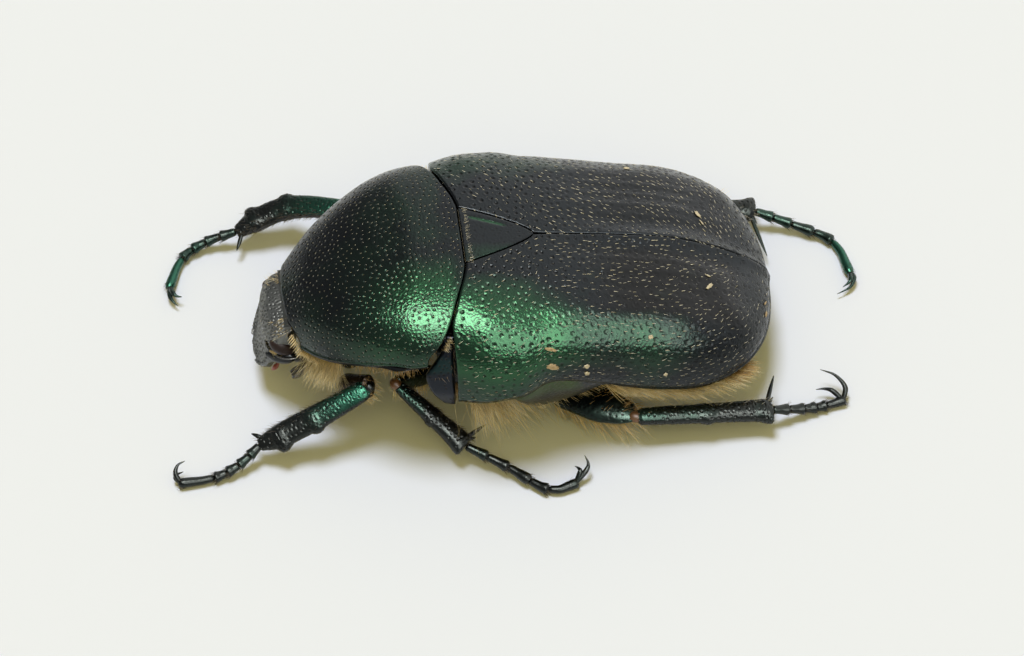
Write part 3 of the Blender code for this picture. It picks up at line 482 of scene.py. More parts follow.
def add_mesh(name, points, faces, finish, marks=None):
    """One object from points in millimetres and arrays of triangles or quads."""
    mesh = bpy.data.meshes.new(name)
    flat = to_row(points).astype(np.float32)
    mesh.vertices.add(len(flat))
    mesh.vertices.foreach_set("co", flat.ravel())
    groups = [np.asarray(group, np.int32) for group in faces if len(group)]
    corners = np.concatenate([group.ravel() for group in groups])
    sizes = np.concatenate([np.full(len(group), group.shape[1], np.int32) for group in groups])
    starts = np.concatenate([[0], np.cumsum(sizes)[:-1]]).astype(np.int32)
    mesh.loops.add(len(corners))
    mesh.loops.foreach_set("vertex_index", corners)
    mesh.polygons.add(len(sizes))
    mesh.polygons.foreach_set("loop_start", starts)
    mesh.update(calc_edges=True)
    mesh.validate()
    mesh.shade_smooth()
    for key, values in (marks or {}).items():
        layer = mesh.attributes.new(key, "FLOAT", "POINT")
        layer.data.foreach_set("value", np.asarray(values, np.float32).ravel())
    mesh.materials.append(finish)
    made = bpy.data.objects.new(name, mesh)
    bpy.context.scene.collection.objects.link(made)
    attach(made, "root")
    return made


def shell_faces(rows, columns, step):
    """Faces of a closed plate: a fine outer grid, an inner one with every step-th point, and the rim."""
    width = columns + 1
    a = (np.arange(rows)[:, None] * width + np.arange(columns)[None]).ravel()
    outer = np.stack([a, a + 1, a + width + 1, a + width], 1)
    inner_rows, inner_columns = rows // step, columns // step
    start = (rows + 1) * width
    inner_width = inner_columns + 1
    b = (np.arange(inner_rows)[:, None] * inner_width + np.arange(inner_columns)[None]).ravel() + start
    inner = np.stack([b, b + inner_width, b + inner_width + 1, b + 1], 1)

    def loop(first, count_rows, count_columns, stride):
        path = [first + k for k in range(count_columns)]
        path += [first + k * stride + count_columns for k in range(count_rows)]
        path += [first + count_rows * stride + k for k in range(count_columns, 0, -1)]
        path += [first + k * stride for k in range(count_rows, 0, -1)]
        return path

    fine = loop(0, rows, columns, width)
    coarse = loop(start, inner_rows, inner_columns, inner_width)
    rim = []
    half = step // 2
    for k, c in enumerate(coarse):
        d = coarse[(k + 1) % len(coarse)]
        base = k * step
        for s in range(step):
            p, q = fine[(base + s) % len(fine)], fine[(base + s + 1) % len(fine)]
            rim.append((q, p, c if s < half else d))
        rim.append((c, d, fine[(base + half) % len(fine)]))
    return outer, inner, np.array(rim)


def add_plate(name, sheet, height, thick, step, finish, marks=None):
    """A plate with a fine outer face that height raises or sinks, and a plain inner face thick below it."""
    rows, columns = (n - 1 for n in sheet.points.shape[:2])
    outer = sheet.points + sheet.normals * height[..., None]
    inner = (sheet.points - sheet.normals * thick)[::step, ::step]
    points = np.concatenate([outer.reshape(-1, 3), inner.reshape(-1, 3)])
    faces = shell_faces(rows, columns, step)
    unmarked = np.zeros(inner.size // 3)
    padded = {key: np.concatenate([np.ravel(values), unmarked]) for key, values in (marks or {}).items()}
    made = add_mesh(name, points, faces, finish, padded)
    face_out(made)
    return made


def even_columns(place, rows, columns, fine=4):
    """A grid of points, evenly spaced in each row; place gives a point from row and column, 0 to 1."""
    trial = np.linspace(0, 1, columns * fine + 1)
    f = np.linspace(0, 1, rows + 1)[:, None]
    ff, gg = np.broadcast_arrays(f, trial[None])
    points = place(ff, gg)
    steps = np.linalg.norm(np.diff(points, axis=1), axis=-1)
    lengths = np.hstack([np.zeros((rows + 1, 1)), np.cumsum(steps, axis=1)])
    g = np.empty((rows + 1, columns + 1))
    for n in range(rows + 1):
        total = max(lengths[n, -1], TINY)
        g[n] = np.interp(np.linspace(0, total, columns + 1), lengths[n], trial)
    ff = np.broadcast_to(f, g.shape)
    return place(ff, g)


# Materials


def new_material(name):
    """A material with its nodes, links and shader."""
    made = bpy.data.materials.new(name)
    made.use_nodes = True
    nodes = made.node_tree.nodes
    return made, nodes, made.node_tree.links, nodes["Principled BSDF"]


def add_node(nodes, kind, **values):
    """A shader node with its settings."""
    node = nodes.new(kind)
    for key, value in values.items():
        setattr(node, key, value)
    return node


def noise_mask(nodes, links, scale, low, high, detail=3.0):
    """A soft patchy mask from object-space noise, as the output socket of a Map Range node."""
    place = add_node(nodes, "ShaderNodeTexCoord")
    noise = add_node(nodes, "ShaderNodeTexNoise")
    noise.inputs["Scale"].default_value = scale
    noise.inputs["Detail"].default_value = detail
    links.new(place.outputs["Object"], noise.inputs["Vector"])
    span = add_node(nodes, "ShaderNodeMapRange")
    span.inputs["From Min"].default_value = low
    span.inputs["From Max"].default_value = high
    links.new(noise.outputs["Fac"], span.inputs["Value"])
    return span.outputs["Result"]


def mix_colour(nodes, links, mask, first, second):
    """A mix of two colours by a mask, as an output socket."""
    blend = add_node(nodes, "ShaderNodeMix", data_type="RGBA")
    links.new(mask, blend.inputs["Factor"])
    for socket, value in (("A", first), ("B", second)):
        target = [s for s in blend.inputs if s.name == socket and s.type == "RGBA"][0]
        if isinstance(value, tuple):
            target.default_value = (*value, 1.0)
        else:
            links.new(value, target)
    return [s for s in blend.outputs if s.type == "RGBA"][0]


def chitin(name, main, plain, pit, roughness, coat, grain=9000.0, grain_depth=0.06, mottle=0.35,
           metallic=1.0):
    """Metallic cuticle: a tint laid on as painted sheen that fades to a plain colour in patches, pits
    darkened partly with painted shade, and a grain.
    """
    made, nodes, links, shader = new_material(name)
    tint_and_painted_sheen = add_node(nodes, "ShaderNodeAttribute", attribute_name="tint_and_painted_sheen")
    patches = add_node(nodes, "ShaderNodeMath", operation="MULTIPLY_ADD", use_clamp=True)
    links.new(noise_mask(nodes, links, 420.0, 0.3, 0.7), patches.inputs[0])
    patches.inputs[1].default_value = -mottle
    links.new(tint_and_painted_sheen.outputs["Fac"], patches.inputs[2])
    tint = mix_colour(nodes, links, patches.outputs["Value"], plain, main)
    # pits take a darker colour, partly their own and partly painted shade
    pits = add_node(nodes, "ShaderNodeAttribute", attribute_name="pit")
    tint = mix_colour(nodes, links, pits.outputs["Fac"], tint, pit)
    links.new(tint, shader.inputs["Base Color"])
    shader.inputs["Metallic"].default_value = metallic
    shader.inputs["Coat Weight"].default_value = coat
    shader.inputs["Coat Roughness"].default_value = 0.25
    rough = add_node(nodes, "ShaderNodeMapRange")
    rough.inputs["To Min"].default_value = roughness - 0.05
    rough.inputs["To Max"].default_value = roughness + 0.08
    links.new(noise_mask(nodes, links, 1400.0, 0.3, 0.7), rough.inputs["Value"])
    links.new(rough.outputs["Result"], shader.inputs["Roughness"])
    grains = add_node(nodes, "ShaderNodeTexVoronoi")
    grains.inputs["Scale"].default_value = grain
    place = add_node(nodes, "ShaderNodeTexCoord")
    links.new(place.outputs["Object"], grains.inputs["Vector"])
    bumps = add_node(nodes, "ShaderNodeBump")
    bumps.inputs["Strength"].default_value = grain_depth
    bumps.inputs["Distance"].default_value = 0.02 * MM
    links.new(grains.outputs["Distance"], bumps.inputs["Height"])
    links.new(bumps.outputs["Normal"], shader.inputs["Normal"])
    return made


def hair_material(name, root, tip, roughness=0.45):
    """Hair of one colour at the root and another at the tip, with each hair a little lighter or darker."""
    made, nodes, links, shader = new_material(name)
    along = add_node(nodes, "ShaderNodeAttribute", attribute_name="along")
    tone = add_node(nodes, "ShaderNodeAttribute", attribute_name="tone")
    colour = mix_colour(nodes, links, along.outputs["Fac"], root, tip)
    darker = add_node(nodes, "ShaderNodeMapRange")
    darker.inputs["To Min"].default_value = 0.55
    darker.inputs["To Max"].default_value = 1.15
    links.new(tone.outputs["Fac"], darker.inputs["Value"])
    scaled = add_node(nodes, "ShaderNodeVectorMath", operation="SCALE")
    links.new(colour, scaled.inputs[0])
    links.new(darker.outputs["Result"], scaled.inputs["Scale"])
    links.new(scaled.outputs["Vector"], shader.inputs["Base Color"])
    shader.inputs["Roughness"].default_value = roughness
    shader.inputs["Subsurface Weight"].default_value = 0.0
    return made


GREEN = chitin("shell_green", (0.022, 0.084, 0.034), (0.0125, 0.0155, 0.017), (0.009, 0.007, 0.005), 0.22,
               0.34, 9500.0, 0.62)
DARK = chitin("dark_chitin", (0.020, 0.055, 0.032), (0.024, 0.026, 0.026), (0.012, 0.010, 0.008), 0.34, 0.30)
HEAD_GREY = chitin("head_grey", (0.040, 0.075, 0.045), (0.160, 0.163, 0.150), (0.006, 0.006, 0.006), 0.40,
                   0.20, 14000.0, 0.3)
LEG = chitin("leg_chitin", (0.020, 0.110, 0.065), (0.022, 0.025, 0.022), (0.012, 0.011, 0.009), 0.28, 0.30,
             14000.0, 0.3)
THIGH = chitin("thigh_brown", (0.030, 0.020, 0.012), (0.030, 0.020, 0.012), (0.012, 0.008, 0.005), 0.40, 0.2)
PLATE = chitin("plate_blue", (0.015, 0.060, 0.050), (0.013, 0.016, 0.022), (0.020, 0.015, 0.010), 0.34, 0.25)
LEAF = chitin("leaf_green", (0.055, 0.090, 0.022), (0.034, 0.036, 0.038), (0.10, 0.09, 0.06), 0.34, 0.30)
EYE = chitin("eye_brown", (0.020, 0.010, 0.008), (0.020, 0.010, 0.008), (0.01, 0.01, 0.01), 0.38, 0.1,
             22000.0, 0.3, metallic=0.0)
CANTHUS = chitin("canthus", (0.14, 0.135, 0.12), (0.14, 0.135, 0.12), (0.02, 0.02, 0.02), 0.25, 0.4)
EYE.node_tree.nodes["Principled BSDF"].inputs["Specular IOR Level"].default_value = 0.2
CLUB = chitin("club", (0.05, 0.05, 0.045), (0.05, 0.05, 0.045), (0.02, 0.02, 0.02), 0.38, 0.3)
RED = chitin("palp_red", (0.26, 0.05, 0.025), (0.26, 0.05, 0.025), (0.05, 0.01, 0.01), 0.3, 0.3, metallic=0.0)
KNEE = chitin("knee_skin", (0.16, 0.075, 0.03), (0.16, 0.075, 0.03), (0.05, 0.02, 0.01), 0.4, 0.2,
              metallic=0.0)
GOLD_HAIR = hair_material("gold_hair", (0.74, 0.54, 0.26), (1.0, 0.90, 0.62))
ORANGE_HAIR = hair_material("orange_hair", (0.30, 0.15, 0.04), (0.80, 0.56, 0.24))
DUN_HAIR = hair_material("dun_hair", (0.16, 0.10, 0.06), (0.42, 0.32, 0.22))
COMB_HAIR = hair_material("comb_hair", (0.75, 0.60, 0.36), (0.98, 0.88, 0.64))
BROWN_HAIR = hair_material("brown_hair", (0.02, 0.015, 0.01), (0.12, 0.09, 0.05))
SPOT = chitin("cream_spot", (0.80, 0.76, 0.66), (0.62, 0.56, 0.44), (0.4, 0.35, 0.25), 0.8, 0.0, 12000.0, 0.6,
              metallic=0.0)
OCHRE_SPOT = chitin("ochre_spot", (0.45, 0.34, 0.20), (0.45, 0.34, 0.20), (0.3, 0.2, 0.1), 0.8, 0.0, 12000.0,
                    0.6, metallic=0.0)
# Spots on the wing cases: place, length and width, turn, and kind
SPOTS = [((10.19, 1.59, 5.5), 0.34, 0.26, 0.3, SPOT), ((10.34, 1.22, 5.5), 0.26, 0.16, 1.0, SPOT),
         ((7.54, 4.10, 6.2), 0.26, 0.20, 0.0, SPOT), ((10.16, -1.62, 5.5), 0.22, 0.16, 0.5, SPOT),
         ((10.14, -2.12, 5.4), 0.42, 0.24, 1.9, SPOT), ((3.12, -5.10, 6.28), 0.42, 0.26, 1.2, OCHRE_SPOT),
         ((3.13, -5.44, 5.48), 0.56, 0.34, 0.3, OCHRE_SPOT), ((7.35, -4.56, 5.69), 0.24, 0.22, 0.0, SPOT),
         ((4.60, -5.37, 5.20), 0.24, 0.22, 0.0, SPOT), ((4.60, -5.44, 4.79), 0.24, 0.24, 0.0, SPOT),
         ((7.90, -5.36, 4.05), 0.17, 0.19, 0.0, SPOT), ((12.66, -1.87, 3.55), 0.30, 0.12, 1.2, OCHRE_SPOT),
         ((12.60, -2.40, 3.45), 0.34, 0.14, 1.6, OCHRE_SPOT)]
PALE_HAIR = hair_material("pale_hair", (0.52, 0.48, 0.38), (0.85, 0.83, 0.74))


# Hair that grows from a surface: how many, their lie, length, width, colour and seed, and how far they
# spread, stand up, droop and gather in locks
BEARD = dict(count=3600, lie=(-0.25, 0.50, -0.85), length=1.8, width=0.028, finish=GOLD_HAIR, seed=201,
             spread=0.30, stand=0.20, clump=0.55)
BEARD_LONG = dict(count=300, lie=(-0.35, 0.45, -0.85), length=2.0, width=0.020, finish=GOLD_HAIR, seed=215,
                  spread=0.34, stand=0.10)
BETWEEN_LEGS = dict(count=900, lie=(0.15, 0.30, -0.90), length=0.55, width=0.024, finish=ORANGE_HAIR,
                    seed=203, spread=0.25, stand=0.15)
HANGING = dict(count=150, lie=(-0.05, 0.85, -0.70), length=1.6, width=0.024, finish=GOLD_HAIR, seed=217,
               spread=0.20, stand=0.05)
BEFORE_FRINGE = dict(count=2400, lie=(0.55, 0.45, -0.80), length=1.05, width=0.024, finish=ORANGE_HAIR,
                     seed=219, spread=0.24, stand=0.25, clump=0.5)
FRINGE = dict(count=1150, lie=(0.55, 0.85, -0.66), length=2.1, width=0.040, finish=GOLD_HAIR, seed=205,
              spread=0.24, stand=0.20, droop=-0.08, clump=0.75)
FRINGE_LONG = dict(count=420, lie=(0.65, 1.0, -0.55), length=2.8, width=0.030, finish=GOLD_HAIR, seed=221,
                   spread=0.30, stand=0.15, droop=-0.08)
BREAST = dict(count=1500, lie=(0.8, 0.1, -0.2), length=0.5, width=0.022, finish=GOLD_HAIR, seed=207,
              spread=0.20, stand=0.35)
BELLY_SIDES = dict(count=1700, lie=(0.92, 0.36, -0.15), length=1.3, width=0.034, finish=GOLD_HAIR, seed=209,
                   spread=0.22, stand=0.22, droop=-0.10, clump=0.5)
BELLY = dict(count=900, lie=(0.95, 0.1, -0.1), length=0.4, width=0.02, finish=GOLD_HAIR, seed=211,
             spread=0.15, stand=0.25)
TAIL = dict(count=1300, lie=(0.90, 0.45, 0.05), length=1.15, width=0.026, finish=ORANGE_HAIR, seed=213,
            spread=0.22, stand=0.15, droop=-0.05, clump=0.5)
CROWN_HAIR = dict(count=90, lie=(-0.5, 0.4, 0.1), length=0.30, width=0.020, finish=GOLD_HAIR, seed=223,
                  spread=0.30, stand=0.5, droop=-0.2)
FACE_HAIR = dict(count=420, lie=(-0.4, 0.1, -1.0), length=0.13, width=0.014, finish=PALE_HAIR, seed=227,
                 spread=0.25, stand=0.3, droop=-0.1, steps=3)
SHIELD_HAIR = dict(count=420, lie=(-0.2, 0.0, -1.0), length=0.06, width=0.012, finish=PALE_HAIR, seed=225,
                   spread=0.15, stand=0.3, droop=-0.1, steps=3)
SHOULDER_HAIR = dict(count=300, lie=(0.25, 0.15, -1.0), length=0.42, width=0.024, finish=DUN_HAIR, seed=241,
                     spread=0.15, stand=0.15, droop=-0.1, steps=4)
LEAF_HAIR = dict(count=70, lie=(0.8, 0.2, -0.45), length=0.4, width=0.024, finish=GOLD_HAIR, seed=243,
                 spread=0.18, stand=0.3, droop=-0.1)
THIGH_TOP = {
    "fore": dict(count=160, lie=(0.5, 0.4, -0.4), length=0.35, width=0.022, finish=ORANGE_HAIR, spread=0.3,
                 stand=0.3, droop=-0.2, steps=4, clump=0.4),
    "hind": dict(count=260, lie=(0.95, 0.1, 0.0), length=0.5, width=0.024, finish=ORANGE_HAIR, spread=0.2,
                 stand=0.3, droop=-0.1, steps=4, mirror=False, clump=0.4),
}
# Hair set in rows: how many, where the row begins and ends, the ways of the hairs at both ends, the way out
# of the skin, jitter of the roots, range of lengths, width, colour, seed and bend
FACE_ROWS = {
    "comb_": dict(count=9, ends=((-7.36, 1.72, 4.44), (-7.02, 2.12, 3.70)),
                  ways=((-0.62, 0.22, -0.75), (-0.55, 0.16, -0.75)), out=(-0.6, 0.7, 0.4), jitter=0.008,
                  length=(0.36, 0.46), width=0.060, finish=COMB_HAIR, seed=233, bend=0.05, sides=6, steps=6,
                  spread=0.03, even=True),
    "comb_fine_": dict(count=16, ends=((-7.36, 1.70, 4.44), (-7.02, 2.10, 3.70)),
                       ways=((-0.62, 0.22, -0.75), (-0.55, 0.16, -0.75)), out=(-0.6, 0.7, 0.4), jitter=0.03,
                       length=(0.2, 0.4), width=0.022, finish=COMB_HAIR, seed=234, bend=0.05),
    "hair_collar_": dict(count=150, ends=((-7.10, 2.05, 3.74), (-6.35, 2.85, 3.86)),
                         ways=((-0.35, 0.15, -0.85), (-0.25, 0.15, -0.90)), out=(-0.4, 0.8, 0.2),
                         jitter=0.035, length=(0.18, 0.40), width=0.022, finish=GOLD_HAIR, seed=235,
                         bend=-0.1),
    "tuft_": dict(count=40, ends=((-8.22, 1.58, 3.14), (-8.30, 1.50, 3.10)),
                  ways=((0.75, 0.45, -0.12), (0.75, 0.45, -0.12)), out=(0.0, 0.5, 0.9), jitter=0.03,
                  length=(0.2, 0.36), width=0.022, finish=GOLD_HAIR, seed=237, bend=-0.05),
    "brow_": dict(count=13, ends=((-7.62, 1.02, 4.66), (-7.78, 1.52, 4.24)),
                  ways=((-0.80, 0.05, -0.30), (-0.75, 0.20, -0.55)), out=(-0.5, 0.5, 0.7), jitter=0.03,
                  length=(0.40, 0.75), width=0.040, finish=PALE_HAIR, seed=239, bend=-0.12, sides=5, steps=6,
                  spread=0.14, even=True),
    "brow_fine_": dict(count=46, ends=((-7.60, 0.95, 4.68), (-7.78, 1.55, 4.20)),
                       ways=((-0.80, 0.05, -0.30), (-0.75, 0.20, -0.55)), out=(-0.5, 0.5, 0.7), jitter=0.05,
                       length=(0.25, 0.5), width=0.018, finish=GOLD_HAIR, seed=240, bend=-0.10, spread=0.25),
    "hair_corner_": dict(count=60, ends=((-1.30, 4.62, 6.25), (-1.02, 4.30, 6.75)),
                         ways=((0.3, 0.7, 0.3), (0.3, 0.6, 0.5)), out=(0.0, 0.7, 0.7), jitter=0.05,
                         length=(0.2, 0.38), width=0.022, finish=GOLD_HAIR, seed=243, bend=-0.05),
    "hair_membrane_": dict(count=110, ends=((0.05, 1.42, 7.62), (-0.02, 2.25, 7.56)),
                           ways=((0.9, -0.35, 0.45), (0.7, -0.2, 0.45)), out=(0.0, 0.0, 1.0), jitter=0.03,
                           length=(0.25, 0.45), width=0.024, finish=ORANGE_HAIR, seed=245, bend=-0.15),
}


# Wing cases


def wing_case(side, name):
    """One wing case with its punctures, costae, suture ridge and margin bead."""
    rows, columns, rear_from = 304, 176, 0.62

    def inner_point(f):
        x = mix(SCUTELLUM_START, CASE_INNER_END, f)
        taper = 1 - (x - SCUTELLUM_START) / (SCUTELLUM_END - SCUTELLUM_START)
        gap = SCUTELLUM_GAP * np.clip(1 + 4 * taper, 0, 1)
        return x, SUTURE_HALF_GAP + SCUTELLUM_HALF_WIDTH * np.maximum(taper, 0.0) ** SCUTELLUM_BOW + gap

    def margin_point(f):
        straight = f < rear_from
        x_side = mix(CASE_BASE_X[-1][1], CASE_REAR_START, np.minimum(f, rear_from) / rear_from)
        turn = 0.5 * math.pi * np.clip((f - rear_from) / (1 - rear_from), 0, 1)
        half = CASE_HALF_WIDTH[-1][1]
        x_rear = CASE_REAR_START + (CASE_END - CASE_REAR_START) * np.sin(turn) ** (2 / CASE_CORNER)
        y_rear = np.maximum(SUTURE_HALF_GAP, half * np.maximum(np.cos(turn), 0.0) ** (2 / CASE_CORNER))
        return np.where(straight, x_side, x_rear), np.where(straight, through(CASE_HALF_WIDTH, x_side),
                                                            y_rear)

    def place(f, g):
        (xa, ya), (xb, yb) = inner_point(f), margin_point(f)
        hold = np.maximum(0.0, 1 - 3 * f / rear_from)
        y = mix(ya, yb, g)
        straight = mix(CASE_BASE_X[0][1], CASE_BASE_X[-1][1], g)
        x = mix(xa, xb, g) + hold * (through(CASE_BASE_X, y) - straight)
        return np.stack([x, side * y, case_z(x, y)], -1)

    points = even_columns(place, rows, columns)
    sheet = Sheet(points, (0, 0, 1))
    x, y = points[..., 0], np.abs(points[..., 1])
    front, _, inner, outer = edge_distance(sheet)

    # relief: sutural ridge, disc hollow and costae
    back = smooth(3.0, 7.0, x)
    ridge, ridge_width = SUTURE_RIDGE
    height = ridge * smooth(3.5, 9.0, x) * swell(y, 0, ridge_width)
    height -= SUTURE_GROOVE[0] * back * swell(y, *SUTURE_GROOVE[1:]) * (1 - smooth(11.0, 12.4, x))
    hollow = smooth(4.0, 6.5, x) * (1 - smooth(9.6, 10.8, x))
    height -= DISC_HOLLOW[0] * hollow * swell(y, *DISC_HOLLOW[1:])
    for line in COSTA_LINES:
        height += COSTA[0] * hollow * swell(y, line, COSTA[1])
    height += SIDE_SWELL[0] * smooth(2.0, 5.0, x) * (1 - smooth(9.5, 11.0, x)) * swell(y, *SIDE_SWELL[1:])

    # punctures
    density = 0.25 + 0.75 * smooth(0.3, 1.6, x) * (1 - smooth(10.6, 11.6, x))
    density = density * (1 - 0.6 * smooth(4.9, 5.3, y))
    clear = (outer > 0.3) & (inner > 0.12) & (front > 0.15)
    seeds = (11, 21) if side < 0 else (12, 22)
    pits, marks, _ = punctures(sheet, "case", seeds, smooth(2.5, 6.0, x), density * clear)
    height += pits

    # margin bead and rounded edges
    bead = (1 - smooth(0.05, 0.16, outer)) * 0.035 - swell(outer, 0.22, 0.05) * 0.03
    height += bead * smooth(1.2, 2.2, x)
    edge = np.minimum(np.minimum(outer, inner), front)
    height -= edge_fall(edge, 0.05, 0.09)

    # painted green sheen at the shoulder and along the side, less on faces turned down and on the far case;
    # painted shade on the disc
    tint_and_painted_sheen = 0.85 * (1 - smooth(1.5, 5.5, x)) * smooth(1.4, 3.6, y)
    tint_and_painted_sheen = tint_and_painted_sheen + 0.50 * smooth(3.2, 4.4, y) * (1 - smooth(7.0, 11.0, x)) + 0.06
    tint_and_painted_sheen *= mix(0.35, 1.0, smooth(0.0, 0.6, sheet.normals[..., 2])) * (1.0 if side < 0 else FAR_SIDE_PAINTED_SHEEN)
    painted_disc_shade = 0.55 * smooth(4.5, 7.0, x) * (1 - smooth(11.0, 12.2, x)) * smooth(0.3, 1.0,
                                                                              y) * (1 - smooth(3.4, 4.2, y))
    attributes = {"pit": np.maximum(marks * 0.8, painted_disc_shade * (1.0 if side < 0 else 0.5)),
                  "tint_and_painted_sheen": np.clip(tint_and_painted_sheen, 0, 1)}
    made = add_plate("wing_case_" + name, sheet, height, CASE_THICK, 8, GREEN, attributes)
    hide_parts("elytron_" + name)
    return sheet, height


def pronotum_place(f, g):
    """Points of the pronotum from how far back and how far across they are, 0 to 1."""
    v = 2 * g - 1
    y = v * through(PRONOTUM_HALF_WIDTH, f)
    x = mix(through(PRONOTUM_FRONT_X, np.abs(v)), through(PRONOTUM_REAR_X, np.abs(y)), f)
    margin = through(PRONOTUM_MARGIN_Z, f)
    return np.stack([x, y, margin + (through(PRONOTUM_CREST_Z, f) - margin) * dome(v, PRONOTUM_ROUND)], -1)


def pronotum():
    """The domed pronotum with its punctures and bordered margin."""
    rows, columns = 208, 336
    points = even_columns(pronotum_place, rows, columns)
    sheet = Sheet(points, (0, 0, 1))
    front, rear, left, right = edge_distance(sheet)
    sides = np.minimum(left, right)
    edge = np.minimum(np.minimum(sides, rear), front)
    weight = (edge > 0.16) * (1.0 - 0.35 * smooth(-2.5, -0.6,
                                                  points[..., 0]) * np.exp(-(points[..., 1] / 1.2) ** 2))
    height, marks, places = punctures(sheet, "pronotum", (31, 32), 0.0, weight)
    bead = (1 - smooth(0.07, 0.16, sides)) * 0.04 - swell(sides, 0.2, 0.05) * 0.03
    height += bead
    height -= edge_fall(edge, 0.06, 0.10)
    x, y = points[..., 0], np.abs(points[..., 1])
    # painted green sheen at the rear of the sides, less at the side margins and on the far side, where it is
    # painted shade
    tint_and_painted_sheen = 0.30 + 0.7 * smooth(-5.5, -2.0, x) * smooth(0.4, 2.4, y) * (1 - smooth(-0.9, -0.2, x))
    tint_and_painted_sheen *= (1 - 0.5 * smooth(4.3, 5.0, y)) * mix(1.0, FAR_SIDE_PAINTED_SHEEN, smooth(0.0, 1.6, points[..., 1]))
    made = add_plate("pronotum", sheet, height, PRONOTUM_THICK, 8, GREEN,
                     {"pit": 0.6 * marks, "tint_and_painted_sheen": tint_and_painted_sheen})
    return sheet, height, places


def scutellum():
    """The small triangle between the wing cases, with a shallow groove and a painted green gleam along it."""
    rows, columns = 64, 48

    def place(f, g):
        x = mix(SCUTELLUM_START, SCUTELLUM_END, f)
        half = np.maximum(SCUTELLUM_HALF_WIDTH * (1 - f) ** SCUTELLUM_BOW, SCUTELLUM_TIP)
        y = mix(-half, half, g)
        return np.stack([x, y, case_z(x, y)], -1)

    f, g = np.meshgrid(np.linspace(0, 1, rows + 1), np.linspace(0, 1, columns + 1), indexing="ij")
    sheet = Sheet(place(f, g), (0, 0, 1))
    front, _, left, right = edge_distance(sheet)
    edge = np.minimum(left, right)
    height = -edge_fall(edge, 0.03, 0.10)
    x, y = sheet.points[..., 0], sheet.points[..., 1]
    # a shallow groove with a painted green gleam along it, and painted sheen on the near side
    groove_and_painted_gleam = swell(y + 0.33 * x, 1.02, 0.08) * smooth(0.2, 0.6, x) * (1 - smooth(1.6, 2.1, x))
    height -= 0.03 * groove_and_painted_gleam
    pits, marks, _ = punctures(sheet, "scutellum", (73, 74), 0.0,
                               0.1 + swell(edge, 0, 0.25) + swell(front, 0, 0.4))
    height += pits * (edge > 0.1)
    tint_and_painted_sheen = np.clip(0.06 + 0.94 * groove_and_painted_gleam + 0.35 * smooth(-0.1, -0.9, y), 0, 1)
    made = add_plate("scutellum_plate", sheet, height, 0.4, 8, GREEN, {"tint_and_painted_sheen": tint_and_painted_sheen, "pit": 0.6 * marks})
    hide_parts("scutellum")
    return sheet, height


# Bodies made of two surfaces, and limbs


def add_slab(name, top, bottom, finish, marks=None):
    """A closed body from a grid of points above and one below."""
    rows, columns = (n - 1 for n in top.shape[:2])
    width = columns + 1
    a = (np.arange(rows)[:, None] * width + np.arange(columns)[None]).ravel()
    under = (rows + 1) * width
    upper = np.stack([a, a + 1, a + width + 1, a + width], 1)
    lower = np.stack([a + under, a + under + width, a + under + width + 1, a + under + 1], 1)
    rim = list(range(width)) + [i * width + columns for i in range(1, rows + 1)]
    rim += [rows * width + j for j in range(columns - 1, -1, -1)]
    rim += [i * width for i in range(rows - 1, 0, -1)]
    rim = np.array(rim)
    after = np.roll(rim, -1)
    sides = np.stack([after, rim, rim + under, after + under], 1)
    points = np.concatenate([top.reshape(-1, 3), bottom.reshape(-1, 3)])
    made = add_mesh(name, points, [upper, lower, sides], finish, marks)
    face_out(made)
    return made


def face_out(made):
    """Turns a closed piece's faces outwards."""
    shell = bmesh.new()
    shell.from_mesh(made.data)
    bmesh.ops.recalc_face_normals(shell, faces=shell.faces)
    shell.to_mesh(made.data)
    shell.free()


def even_grid(rows, columns):
    """Grid coordinates for a section that falls away at both sides: f along, v across from -1 to 1."""
    f, g = np.meshgrid(np.linspace(0, 1, rows + 1), np.linspace(-1, 1, columns + 1), indexing="ij")
    return f, np.sin(0.5 * math.pi * g)


def curve(points, f):
    """Points at f, from 0 to 1, on a smooth curve through points."""
    points = np.asarray(points, float)
    last = len(points) - 1
    i = np.minimum((f * last).astype(int), last - 1)
    g = (f * last - i)[:, None]
    ends = np.vstack([2 * points[0] - points[1], points, 2 * points[-1] - points[-2]])
    before, here, there, after = ends[i], ends[i + 1], ends[i + 2], ends[i + 3]
    return (here * ((1 + 2 * g) * (1 - g) ** 2) + (there - before) / 2 * (g * (1 - g) ** 2)
            + there * (g * g * (3 - 2 * g)) + (after - here) / 2 * (g * g * (g - 1)))


def limb(route, stations, flat, across, rows, count, bulge=2.0):
    """Grid of points round a limb: stations lists (f, outer, inner), flat is thickness over mean width."""
    f = 0.5 - 0.5 * np.cos(math.pi * np.linspace(0, 1, rows + 1))
    centre = curve(route, f)
    ahead = unit(np.gradient(centre, axis=0))
    across = np.asarray(across, float)
    side = unit(across - ahead * (ahead @ across)[:, None])
    up = np.cross(ahead, side)
    outer = through([(s[0], s[1]) for s in stations], f)
    inner = through([(s[0], s[2]) for s in stations], f)
    thick = flat * (outer + inner) / 2
    turn = 2 * math.pi * np.arange(count) / count
    cosine, sine = np.cos(turn), np.sin(turn)
    cosine = np.copysign(np.abs(cosine) ** (2 / bulge), cosine)
    sine = np.copysign(np.abs(sine) ** (2 / bulge), sine)
    reach = np.where(cosine > 0, outer[:, None], inner[:, None]) * cosine
    return (centre[:, None] + side[:, None] * reach[..., None]
            + up[:, None] * (thick[:, None] * sine)[..., None])


